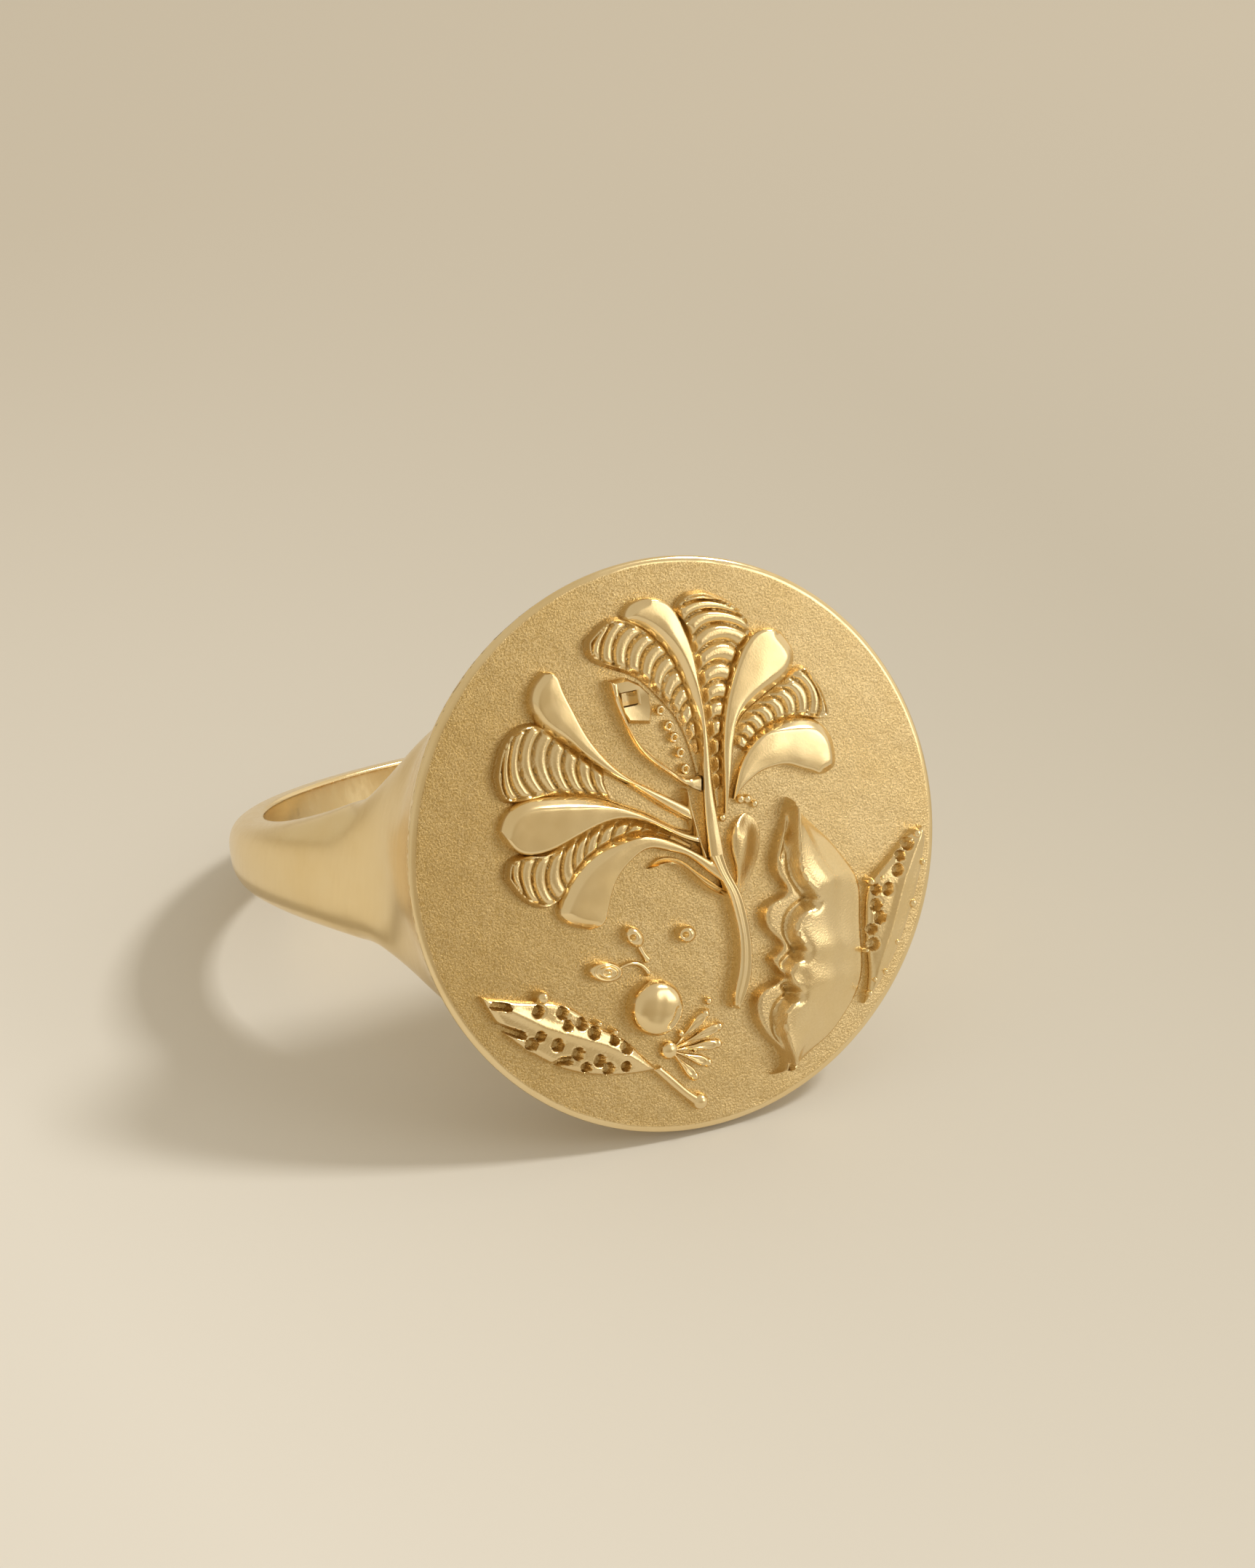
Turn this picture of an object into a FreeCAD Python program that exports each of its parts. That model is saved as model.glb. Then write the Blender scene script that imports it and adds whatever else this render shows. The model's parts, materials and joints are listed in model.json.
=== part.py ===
import FreeCAD, Part
import math
import os

# A signet ring lying on its side: a domed shank, a flared head, a round face plate, and a flower,
# leaves and berries that stand on the plate as raised ornaments.
#
# The ring is first built upright in its own ring frame: the finger hole runs along Z through the
# origin and the face looks towards -Y. At the end the whole ring is tilted back about X until the
# lower edge of the plate and the lower edge of the shank's back both rest on the ground, and its
# bounding box is centred above the origin.

V = FreeCAD.Vector

# Driving dimensions, in millimetres.
BORE_RADIUS = 8.25
FACE_RADIUS = 8.5
FACE_HEIGHT = 10.6          # from the axis of the finger hole to the ground of the face
PLATE_THICKNESS = 0.6
PLATE_ROUNDING = 0.2
HEAD_DEPTH = 5.6            # how far behind the face the head hands over to the shank
CROWN_RADIUS = 9.45         # outside of the shank, along its middle
EDGE_RADIUS = 9.15          # outside of the shank, along its two edges
BACK_HALF_WIDTH = 0.9

# Half width of the shank against the angle from the face, in degrees.
SHANK_HALF_WIDTHS = [(40, 3.5), (46, 3.0), (52, 2.6), (60, 2.15), (75, 1.62), (90, 1.28),
                     (105, 1.1), (120, 1.02), (135, 0.97), (150, 0.93), (165, 0.91),
                     (180, BACK_HALF_WIDTH)]

# The head behind the plate: depth, half width across, half height, and squareness of the section.
HEAD_SECTIONS = [(PLATE_THICKNESS, 8.34, 8.25, 2.05), (1.0, 8.16, 7.75, 2.15),
                 (1.5, 7.98, 7.1, 2.3), (2.2, 7.79, 6.05, 2.6), (3.2, 7.64, 5.15, 3.2),
                 (4.4, 7.67, 4.0, 4.0), (5.6, 8.06, 2.8, 4.8), (6.2, 8.36, 2.4, 4.8)]

# Heights of the ornaments above the ground of the face.
PETAL_HEIGHT = 0.5
FAN_SLAB_HEIGHT = 0.18
FAN_RIDGE_HEIGHT = 0.34
STEM_HEIGHT = 0.5
SEPAL_HEIGHT = 0.4
BUD_HEIGHT = 0.45
LEAF_HEIGHT = 0.75
FERN_HEIGHT = 0.4
SPRIG_HEIGHT = 0.3
BEVEL = 0.12                # how far a bevelled ornament draws in at its top
SMALLEST_SOLID = 0.004      # cubic millimetres: anything smaller left by a cut is a sliver

# Outlines on the face, X to the right and Y up from the face's centre. Each ornament is a strip
# between two edges, both drawn from its root to its tip.
PETALS = {
    "petal_lower_left": (
        [(0.80, -0.56), (0.30, -0.16), (-0.40, 0.29), (-1.20, 0.59), (-2.10, 0.57), (-2.80, 0.34),
         (-3.40, -0.06), (-3.95, -0.71), (-4.15, -1.21), (-3.80, -1.61), (-3.20, -1.86)],
        [(1.15, -1.36), (0.55, -0.76), (0.00, -0.26), (-0.55, -0.01), (-1.10, 0.16), (-1.70, -0.06),
         (-2.15, -0.41), (-2.45, -0.86), (-2.65, -1.36), (-2.85, -1.71), (-3.20, -1.86)]),
    "petal_left": (
        [(0.45, 0.24), (-0.20, 0.59), (-0.90, 1.07), (-1.60, 1.49), (-2.40, 1.91), (-3.20, 2.14),
         (-4.10, 2.29), (-4.90, 2.29), (-5.40, 1.99), (-5.62, 1.59)],
        [(0.50, -0.01), (0.10, 0.19), (-0.50, 0.59), (-1.20, 1.02), (-2.00, 1.22), (-2.80, 1.12),
         (-3.60, 0.89), (-4.40, 0.72), (-5.20, 0.89), (-5.62, 1.59)]),
    "petal_upper_left": (
        [(-1.32, 2.10), (-1.82, 2.45), (-2.52, 3.07), (-3.32, 3.80), (-3.97, 4.44), (-4.14, 5.09),
         (-3.92, 5.59), (-3.57, 5.89)],
        [(-1.22, 2.20), (-1.67, 2.60), (-2.17, 3.20), (-2.62, 4.00), (-2.92, 4.79), (-3.12, 5.39),
         (-3.27, 5.79), (-3.57, 5.89)]),
    "petal_top": (
        [(0.76, -0.45), (0.78, 0.60), (0.86, 1.60), (0.98, 2.70), (0.98, 3.70), (0.81, 4.70),
         (0.51, 5.60), (0.06, 6.25), (-0.44, 6.65), (-0.84, 6.95), (-0.69, 7.25), (-0.24, 7.43)],
        [(1.26, -0.45), (1.21, 0.60), (1.18, 1.60), (1.24, 2.70), (1.26, 3.70), (1.21, 4.70),
         (1.14, 5.60), (0.98, 6.25), (0.81, 6.75), (0.61, 7.10), (0.26, 7.35), (-0.24, 7.43)]),
    "petal_upper_right": (
        [(1.43, 0.69), (1.53, 1.40), (1.63, 2.30), (1.78, 3.20), (2.03, 4.04), (2.38, 4.79),
         (2.78, 5.44), (3.18, 5.77), (3.68, 5.84), (4.13, 5.64)],
        [(1.58, 0.79), (1.73, 1.40), (1.90, 2.10), (2.08, 2.80), (2.43, 3.35), (2.98, 3.72),
         (3.63, 4.04), (4.18, 4.34), (4.46, 4.84), (4.13, 5.64)]),
    "petal_right": (
        [(1.78, 1.09), (1.98, 1.65), (2.28, 2.20), (2.68, 2.60), (3.18, 2.90), (3.78, 3.02),
         (4.38, 3.00), (4.93, 2.80), (5.28, 2.35), (5.38, 1.79), (5.28, 1.34), (4.93, 1.18)],
        [(1.83, 1.04), (2.08, 1.29), (2.38, 1.49), (2.78, 1.68), (3.28, 1.75), (3.68, 1.72),
         (3.98, 1.59), (4.23, 1.47), (4.43, 1.38), (4.63, 1.26), (4.78, 1.20), (4.93, 1.18)]),
}

UPPER_LEFT_STALK = (
    [(-1.30, 2.28), (-0.60, 1.81), (-0.10, 1.47), (0.30, 1.19)],
    [(-1.42, 2.14), (-0.90, 1.69), (-0.30, 1.19), (0.35, 0.69)])

# Scaled fans between the petals, each with its number of ridges.
FANS = {
    "fan_lower_left": (10, (
        [(0.42, -0.04), (-0.43, 0.56), (-1.13, 0.99), (-1.93, 1.19), (-2.73, 1.09), (-3.53, 0.86),
         (-4.33, 0.69), (-5.03, 0.78), (-5.48, 0.61), (-5.63, 0.16)],
        [(0.37, -0.19), (-0.33, 0.26), (-1.13, 0.56), (-2.03, 0.54), (-2.73, 0.31), (-3.33, -0.09),
         (-3.88, -0.74), (-4.43, -0.94), (-5.08, -0.66), (-5.63, 0.16)])),
    "fan_left": (10, (
        [(0.37, 0.71), (-0.43, 1.31), (-1.23, 2.01), (-1.93, 2.56), (-2.63, 3.21), (-3.23, 3.76),
         (-3.83, 4.36), (-4.43, 4.48), (-5.08, 4.11), (-5.53, 3.16)],
        [(0.47, 0.31), (-0.13, 0.56), (-0.83, 1.06), (-1.53, 1.46), (-2.33, 1.88), (-3.13, 2.11),
         (-4.03, 2.26), (-4.73, 2.26), (-5.28, 2.36), (-5.53, 3.16)])),
    "fan_top_left": (11, (
        [(0.85, 1.97), (0.77, 2.67), (0.60, 3.37), (0.35, 3.92), (-0.05, 4.47), (-0.55, 5.07),
         (-1.25, 5.47), (-1.75, 5.72), (-2.10, 6.07), (-2.10, 6.52)],
        [(1.05, 1.97), (1.07, 2.67), (1.07, 3.37), (1.02, 4.07), (0.90, 4.67), (0.65, 5.47),
         (0.20, 6.17), (-0.35, 6.67), (-1.05, 7.02), (-2.10, 6.52)])),
    "fan_top_right": (11, (
        [(1.35, 0.87), (1.33, 1.87), (1.35, 2.87), (1.35, 3.87), (1.30, 4.77), (1.23, 5.57),
         (1.05, 6.27), (0.85, 6.87), (1.15, 7.25), (1.85, 7.29)],
        [(1.50, 0.87), (1.65, 1.87), (1.80, 2.87), (2.10, 3.87), (2.45, 4.77), (2.85, 5.42),
         (3.20, 5.82), (3.15, 6.17), (2.70, 6.77), (1.85, 7.29)])),
    "fan_right": (10, (
        [(1.80, 1.37), (2.00, 2.17), (2.15, 2.77), (2.50, 3.32), (3.05, 3.69), (3.70, 4.02),
         (4.25, 4.37), (4.65, 4.52), (5.05, 4.17), (5.30, 3.57)],
        [(1.95, 1.37), (2.10, 1.77), (2.35, 2.17), (2.75, 2.57), (3.25, 2.87), (3.85, 2.99),
         (4.45, 2.97), (4.95, 2.82), (5.25, 2.82), (5.30, 3.57)])),
}

FLOWER_STEM = (
    [(0.76, -0.45), (0.93, -1.01), (1.18, -1.66), (1.28, -2.30), (1.33, -2.90), (1.28, -3.50),
     (1.13, -4.11), (0.92, -4.66), (0.88, -5.00)],
    [(1.26, -0.45), (1.38, -1.01), (1.63, -1.66), (1.75, -2.30), (1.78, -2.90), (1.76, -3.50),
     (1.65, -4.11), (1.43, -4.66), (1.08, -5.16)])

SEED_BUD_FRAME = (
    [(0.76, 1.45), (0.28, 1.80), (-0.12, 2.16), (-0.57, 2.58), (-0.97, 3.08), (-1.22, 3.60),
     (-1.40, 4.09), (-1.56, 4.69), (-1.62, 5.25)],
    [(0.84, 1.95), (0.30, 2.04), (0.00, 2.30), (-0.44, 2.72), (-0.82, 3.17), (-1.08, 3.65),
     (-1.22, 4.12), (-1.34, 4.70), (-1.34, 5.19)])
SEED_BUD_HOOD = [(-1.57, 5.25), (-1.07, 5.25), (-0.67, 5.00), (-0.37, 4.64), (-0.37, 4.09),
                 (-0.47, 3.75), (-1.17, 3.90), (-1.32, 4.19)]
SEED_BUD_EYE = ((-1.27, 4.44), (-0.77, 4.81))
BEADS = [(-0.05, 4.07), (0.15, 3.57), (0.27, 3.20), (0.40, 2.72), (0.48, 2.22)]
BEAD_RADIUS = 0.15

LEFT_SEPAL = (
    [(1.12, -1.77), (0.77, -1.57), (0.37, -1.17), (-0.08, -0.64), (-0.48, -0.42), (-0.83, -0.42),
     (-1.13, -0.47)],
    [(1.17, -1.52), (0.72, -1.12), (0.32, -0.72), (-0.08, -0.37), (-0.48, -0.22), (-0.78, -0.22),
     (-1.13, -0.47)])
RIGHT_CALYX = (
    [(1.60, -1.81), (1.65, -1.31), (1.60, -0.81), (1.55, -0.31), (1.65, 0.09), (1.90, 0.39),
     (2.30, 0.54)],
    [(1.85, -1.81), (1.95, -1.31), (2.05, -0.81), (2.10, -0.31), (2.20, 0.04), (2.32, 0.29),
     (2.40, 0.44)])
CALYX_GRAINS = [(2.12, 0.98, 0.15), (2.34, 0.94, 0.15), (2.57, 0.75, 0.12), (1.47, 0.55, 0.13)]

ACANTHUS_LEAF = (
    [(2.44, -7.27), (2.04, -6.47), (1.66, -5.82), (1.57, -5.27), (1.69, -4.87), (2.14, -4.62),
     (2.54, -4.47), (2.39, -4.17), (2.31, -3.87), (2.67, -3.59), (2.44, -3.22), (2.24, -2.82),
     (2.31, -2.37), (2.64, -2.14), (3.07, -1.97), (2.89, -1.57), (2.82, -1.17), (2.94, -0.72),
     (3.24, -0.12), (3.66, 0.73)],
    [(2.44, -7.27), (2.99, -6.97), (3.59, -6.57), (4.19, -6.07), (4.64, -5.57), (4.94, -5.07),
     (5.14, -4.57), (5.24, -4.07), (5.34, -3.57), (5.42, -3.07), (5.46, -2.67), (5.44, -2.27),
     (5.30, -1.87), (5.09, -1.47), (4.84, -1.07), (4.59, -0.72), (4.34, -0.37), (4.09, -0.02),
     (3.89, 0.33), (3.66, 0.73)])

LEFT_FERN = (
    [(-1.83, -6.25), (-2.13, -5.87), (-2.58, -5.32), (-3.08, -4.92), (-3.63, -4.52), (-3.98, -4.12),
     (-4.48, -3.78), (-4.93, -3.58), (-5.35, -3.50), (-5.85, -3.37), (-6.38, -3.22), (-6.93, -3.04)],
    [(-1.83, -6.37), (-2.48, -6.33), (-3.18, -6.22), (-3.88, -6.04), (-4.48, -5.80), (-4.98, -5.50),
     (-5.38, -5.20), (-5.78, -4.87), (-6.18, -4.47), (-6.48, -4.03), (-6.72, -3.57), (-6.93, -3.04)])
LEFT_FERN_DIMPLES = [
    (-5.63, -4.72), (-5.33, -4.55), (-4.83, -4.92), (-4.23, -5.32), (-4.03, -5.77), (-3.58, -5.67),
    (-3.33, -5.97), (-2.78, -6.02), (-5.28, -3.82), (-4.53, -4.02), (-4.43, -4.42), (-3.98, -4.47),
    (-3.63, -4.82), (-3.03, -5.17), (-2.68, -5.47)]
DIMPLE_RADIUS = 0.17

RIGHT_FERN = (
    [(5.00, -6.11), (5.15, -5.41), (5.35, -4.71), (5.50, -4.11), (5.58, -3.51), (5.70, -2.91),
     (5.90, -2.41), (6.30, -2.01), (6.90, -1.56), (7.50, -1.11), (7.90, -0.98)],
    [(5.00, -6.11), (5.55, -5.70), (6.05, -5.15), (6.50, -4.55), (6.88, -3.95), (7.22, -3.30),
     (7.50, -2.70), (7.72, -2.15), (7.86, -1.70), (7.96, -1.30), (7.90, -0.98)])
RIGHT_FERN_DIMPLES = [(7.30, -1.41), (7.00, -1.71), (6.85, -2.11), (6.45, -2.61), (6.05, -2.55),
                      (5.98, -3.01), (6.05, -3.41), (5.75, -3.71), (5.75, -4.16)]

FERN_STALK = (
    [(-1.93, -6.32), (-1.43, -6.92), (-1.03, -7.37), (-0.73, -7.67)],
    [(-1.63, -6.27), (-1.18, -6.77), (-0.78, -7.22), (-0.48, -7.47)])
STALK_KNOB = (-0.52, -7.66, 0.24)

BERRY_CENTRE = (-1.55, -4.52)
BERRY_RADIUS = 0.85
BERRY_RISE = 0.15           # height of the berry's centre above the ground

# Small buds above the berry: centre, half length, half width, and turn in degrees.
BUDS = {
    "bud_left": ((-2.96, -3.14), 0.56, 0.32, -15),
    "bud_middle": ((-1.90, -2.32), 0.38, 0.26, -60),
    "bud_right": ((-0.23, -2.59), 0.30, 0.28, 0),
}
BUD_RISE = 0.12
MIDDLE_BUD_STALK = (
    [(-1.82, -2.62), (-1.72, -2.90), (-1.62, -3.20)],
    [(-1.62, -2.54), (-1.54, -2.84), (-1.36, -3.14)])

SPRIG_ROOT = (-1.25, -5.90)
SPRIG_ROOT_RADIUS = 0.3
SPRIG_TIPS = [(0.20, -4.95), (0.62, -5.48), (0.50, -6.05), (0.05, -6.60), (-0.50, -6.95)]
SPRIG_HALF_WIDTH = 0.15


def at(point, height=0.0):
    """A point of the face as a vector at a height above the ground."""
    return V(point[0], point[1], height)


def curve(points, height=0.0):
    """A smooth edge through the points."""
    spline = Part.BSplineCurve()
    spline.interpolate([at(p, height) for p in points])
    return spline.toShape()


def strip_wire(edges, height=0.0):
    """The closed outline between a strip's two edges."""
    first, second = edges
    pieces = [curve(first, height)]
    if first[-1] != second[-1]:
        pieces.append(Part.makeLine(at(first[-1], height), at(second[-1], height)))
    pieces.append(curve(second[::-1], height))
    if first[0] != second[0]:
        pieces.append(Part.makeLine(at(second[0], height), at(first[0], height)))
    return Part.Wire(pieces)


def drawn_in(edges, inset):
    """The strip's edges moved towards its middle line, and its pointed ends drawn back."""
    first, second = edges
    middle = [((a[0] + b[0]) / 2, (a[1] + b[1]) / 2) for a, b in zip(first, second)]
    new_first = []
    new_second = []
    last = len(middle) - 1
    for i in range(last + 1):
        half = math.dist(first[i], second[i]) / 2
        if half < 1e-6:
            neighbour = middle[i - 1] if i else middle[1]
            share = min(inset / math.dist(middle[i], neighbour), 0.5)
            point = tuple(m + share * (n - m) for m, n in zip(middle[i], neighbour))
            new_first.append(point)
            new_second.append(point)
            continue
        keep = 1 - min(inset / half, 0.45)
        new_first.append(tuple(m + keep * (a - m) for m, a in zip(middle[i], first[i])))
        new_second.append(tuple(m + keep * (b - m) for m, b in zip(middle[i], second[i])))
    return new_first, new_second


def raised_strip(edges, height, bevel=BEVEL):
    """A strip standing on the ground, with upright walls and a bevel round its top."""
    foot = strip_wire(edges)
    shoulder = strip_wire(edges, height - bevel)
    top = strip_wire(drawn_in(edges, bevel), height)
    return Part.makeLoft([foot, shoulder, top], True, True)


def flat_strip(edges, height):
    """A strip standing on the ground with a flat top."""
    return Part.Face(strip_wire(edges)).extrude(V(0, 0, height))


def above_ground(shape):
    """The part of a shape that stands above the face's ground."""
    reach = 4 * FACE_RADIUS
    block = Part.makeBox(reach, reach, reach, V(-reach / 2, -reach / 2, 0))
    return shape.common(block)


def grain(x, y, radius, rise=0.0):
    """A round grain of metal sunk to its middle in the ground, or a little higher."""
    return above_ground(Part.makeSphere(radius, V(x, y, rise)))


def scaled_fan(ridges, edges):
    """A thin slab with curved ridges across it, from its root to its round outer end."""
    first = Part.BSplineCurve()
    first.interpolate([at(p) for p in edges[0]])
    second = Part.BSplineCurve()
    second.interpolate([at(p) for p in edges[1]])

    def across(share):
        a = first.value(first.FirstParameter + share * (first.LastParameter - first.FirstParameter))
        b = second.value(second.FirstParameter
                         + share * (second.LastParameter - second.FirstParameter))
        return a, b

    solids = []
    for i in range(ridges):
        a0, b0 = across((i + 0.15) / (ridges + 0.5))
        a1, b1 = across((i + 0.85) / (ridges + 0.5))
        onward = (a1 + b1 - a0 - b0).normalize()
        bulge = onward * 0.12 * (a1 - b1).Length
        outer = Part.Arc(a1, (a1 + b1) * 0.5 + bulge, b1).toShape()
        inner = Part.Arc(b0, (a0 + b0) * 0.5 + bulge, a0).toShape()
        wire = Part.Wire([Part.makeLine(a0, a1), outer, Part.makeLine(b1, b0), inner])
        solids.append(Part.Face(wire).extrude(V(0, 0, FAN_RIDGE_HEIGHT)))
    return flat_strip(edges, FAN_SLAB_HEIGHT).multiFuse(solids).removeSplitter()


def petal(name):
    """A polished petal, and for the upper left one also the stalk that overlaps its root."""
    shape = raised_strip(PETALS[name], PETAL_HEIGHT)
    if name == "petal_upper_left":
        shape = shape.fuse(raised_strip(UPPER_LEFT_STALK, PETAL_HEIGHT - 0.06))
    return shape


def seed_bud():
    """The pointed bud: a curved frame and a faceted hood with a square eye."""
    frame = raised_strip(SEED_BUD_FRAME, BUD_HEIGHT, 0.06)
    outline = [at(p) for p in SEED_BUD_HOOD + SEED_BUD_HOOD[:1]]
    hood = Part.Face(Part.makePolygon(outline)).extrude(V(0, 0, BUD_HEIGHT))
    low, high = SEED_BUD_EYE
    eye = Part.makeBox(high[0] - low[0], high[1] - low[1], BUD_HEIGHT, at(low, 0.1))
    return frame.fuse(hood).cut(eye).removeSplitter()


def dimpled_fern(edges, dimples):
    """A fern leaf with round dimples sunk in its top."""
    leaf = raised_strip(edges, FERN_HEIGHT)
    for point in dimples:
        leaf = leaf.cut(Part.makeSphere(DIMPLE_RADIUS, at(point, FERN_HEIGHT)))
    return leaf


def bud(centre, half_length, half_width, turn):
    """An oval bud, half sunk in the ground."""
    stretch = FreeCAD.Matrix()
    stretch.scale(half_length, half_width, half_width)
    shape = Part.makeSphere(1.0).transformGeometry(stretch)
    shape.rotate(V(0, 0, 0), V(0, 0, 1), turn)
    shape.translate(at(centre, BUD_RISE))
    return above_ground(shape)


def sprig_leaflet(tip):
    """A slender leaflet, widest near its tip, that starts inside the sprig's root."""
    end = at(tip)
    along = (end - at(SPRIG_ROOT)).normalize()
    root = at(SPRIG_ROOT) + along * SPRIG_ROOT_RADIUS / 2
    aside = V(-along.y, along.x, 0)
    reach = end - root
    edges = []
    for side in (1, -1):
        points = [root + aside * side * 0.04, root + reach * 0.4 + aside * side * 0.08,
                  root + reach * 0.8 + aside * side * SPRIG_HALF_WIDTH, end]
        edges.append([(p.x, p.y) for p in points])
    return flat_strip(edges, SPRIG_HEIGHT)


def sprig():
    """Leaflets that spread from one round root."""
    root = Part.makeCylinder(SPRIG_ROOT_RADIUS, SPRIG_HEIGHT, at(SPRIG_ROOT))
    return root.multiFuse([sprig_leaflet(tip) for tip in SPRIG_TIPS])


def face_plate():
    """The round plate that carries the ornaments, with its front edge rounded."""
    disc = Part.makeCylinder(FACE_RADIUS, PLATE_THICKNESS, V(0, 0, -PLATE_THICKNESS))
    front_edge = [e for e in disc.Edges if abs(e.BoundBox.ZMin) < 1e-6 and len(e.Vertexes) == 1]
    return disc.makeFillet(PLATE_ROUNDING, front_edge)


def head_section(depth, half_across, half_height, squareness):
    """A closed rounded outline behind the face, between an ellipse and a rectangle."""
    power = 2 / squareness
    points = []
    steps = 32
    for i in range(steps):
        turn = 2 * math.pi * i / steps
        c, s = math.cos(turn), math.sin(turn)
        x = half_across * math.copysign(abs(c) ** power, c)
        y = half_height * math.copysign(abs(s) ** power, s)
        points.append(V(x, y, -depth))
    outline = Part.BSplineCurve()
    outline.interpolate(points, PeriodicFlag=True)
    return Part.Wire(outline.toShape())


def finger_hole():
    """The cylinder that the finger goes through, in the ring frame."""
    length = 4 * FACE_RADIUS
    return Part.makeCylinder(BORE_RADIUS, length, V(0, 0, -length / 2))


def signet_head():
    """The flared head between the plate and the shank, in the ring frame."""
    flare = onto_ring(Part.makeLoft([head_section(*s) for s in HEAD_SECTIONS], True, False))
    reach = 4 * FACE_RADIUS
    handover = FACE_HEIGHT - HEAD_DEPTH
    front = Part.makeBox(reach, reach, reach, V(-reach / 2, -handover - reach, -reach / 2))
    return flare.common(front).cut(finger_hole())


def shank_section(angle, half_width):
    """The shank's domed section at an angle from the face, in the ring frame."""
    turn = math.radians(angle)
    outwards = V(math.sin(turn), -math.cos(turn), 0)
    inner = BORE_RADIUS - 0.4
    corners = []
    for radius, z in ((inner, -half_width), (inner, half_width), (EDGE_RADIUS, half_width),
                      (CROWN_RADIUS, 0), (EDGE_RADIUS, -half_width)):
        corners.append(outwards * radius + V(0, 0, z))
    a, b, c, crown, d = corners
    return Part.Wire([Part.makeLine(a, b), Part.makeLine(b, c), Part.Arc(c, crown, d).toShape(),
                      Part.makeLine(d, a)])


def shank():
    """The band round the finger, from one side of the head to the other, in the ring frame."""
    other_side = [(360 - angle, w) for angle, w in SHANK_HALF_WIDTHS[-2::-1]]
    sections = [shank_section(angle, w) for angle, w in SHANK_HALF_WIDTHS + other_side]
    band = Part.makeLoft(sections, True, False)
    reach = 4 * FACE_RADIUS
    handover = FACE_HEIGHT - HEAD_DEPTH
    back = Part.makeBox(reach, reach, reach, V(-reach / 2, -handover, -reach / 2))
    return band.common(back).cut(finger_hole())


def onto_ring(shape):
    """Moves a shape from the face's own plane to its place in the ring frame."""
    placed = shape.copy()
    placed.rotate(V(0, 0, 0), V(1, 0, 0), 90)
    placed.translate(V(0, -FACE_HEIGHT, 0))
    return placed


def without_overlap(shape, placed):
    """Cuts away what earlier ornaments already fill, and drops slivers."""
    for other in placed:
        if shape.BoundBox.intersect(other.BoundBox):
            shape = shape.cut(other)
    solids = [s for s in shape.Solids if s.Volume > SMALLEST_SOLID]
    return solids[0] if len(solids) == 1 else Part.makeCompound(solids)


def ornaments():
    """Every raised ornament on the face, in the face's own plane."""
    planned = {"flower_stem": raised_strip(FLOWER_STEM, STEM_HEIGHT)}
    for name in PETALS:
        planned[name] = petal(name)
    planned["seed_bud"] = seed_bud()
    planned["bead_row"] = Part.makeCompound([grain(x, y, BEAD_RADIUS, 0.2) for x, y in BEADS])
    planned["left_sepal"] = raised_strip(LEFT_SEPAL, SEPAL_HEIGHT, 0.06)
    planned["right_calyx"] = raised_strip(RIGHT_CALYX, SEPAL_HEIGHT)
    planned["calyx_grains"] = Part.makeCompound([grain(x, y, r, r) for x, y, r in CALYX_GRAINS])
    for name, (ridges, edges) in FANS.items():
        planned[name] = scaled_fan(ridges, edges)
    planned["acanthus_leaf"] = raised_strip(ACANTHUS_LEAF, LEAF_HEIGHT)
    planned["right_fern_leaf"] = dimpled_fern(RIGHT_FERN, RIGHT_FERN_DIMPLES)
    planned["left_fern_leaf"] = dimpled_fern(LEFT_FERN, LEFT_FERN_DIMPLES)
    planned["fern_stalk"] = flat_strip(FERN_STALK, FERN_HEIGHT).fuse(grain(*STALK_KNOB, 0.15))
    planned["berry"] = grain(*BERRY_CENTRE, BERRY_RADIUS, BERRY_RISE)
    for name, measures in BUDS.items():
        planned[name] = bud(*measures)
    stalk = flat_strip(MIDDLE_BUD_STALK, BUD_RISE * 2)
    planned["bud_middle"] = planned["bud_middle"].fuse(stalk)
    planned["sprig"] = sprig()

    placed = {}
    for name, shape in planned.items():
        placed[name] = without_overlap(shape, list(placed.values()))
    return placed


def lying(shape, tilt):
    """Tilts the upright ring back until it rests on the plate's and the shank's lower edges."""
    tilted = shape.copy()
    tilted.rotate(V(0, 0, 0), V(1, 0, 0), -tilt)
    return tilted


def main():
    ring = {"shank": shank(), "signet_head": signet_head(), "face_plate": onto_ring(face_plate())}
    for name, shape in ornaments().items():
        ring[name] = onto_ring(shape)

    plate_back = FACE_HEIGHT - PLATE_THICKNESS
    tilt = math.degrees(math.atan2(FACE_RADIUS - BACK_HALF_WIDTH, plate_back + EDGE_RADIUS))
    ring = {name: lying(shape, tilt) for name, shape in ring.items()}

    box = Part.makeCompound(list(ring.values())).optimalBoundingBox(False, False)
    to_ground = V(0, -(box.YMin + box.YMax) / 2, -box.ZMin)
    os.makedirs("parts", exist_ok=True)
    for name, shape in ring.items():
        shape.translate(to_ground)
        shape.exportStep(f"parts/{name}.step")
        print(name, len(shape.Solids), round(shape.Volume, 3), shape.isValid())
    print("tilt in degrees", round(tilt, 4), "bore centre", to_ground)


main()
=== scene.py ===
import json
import math

import bmesh
import bpy
import numpy as np
from mathutils import Matrix, Vector


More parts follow.
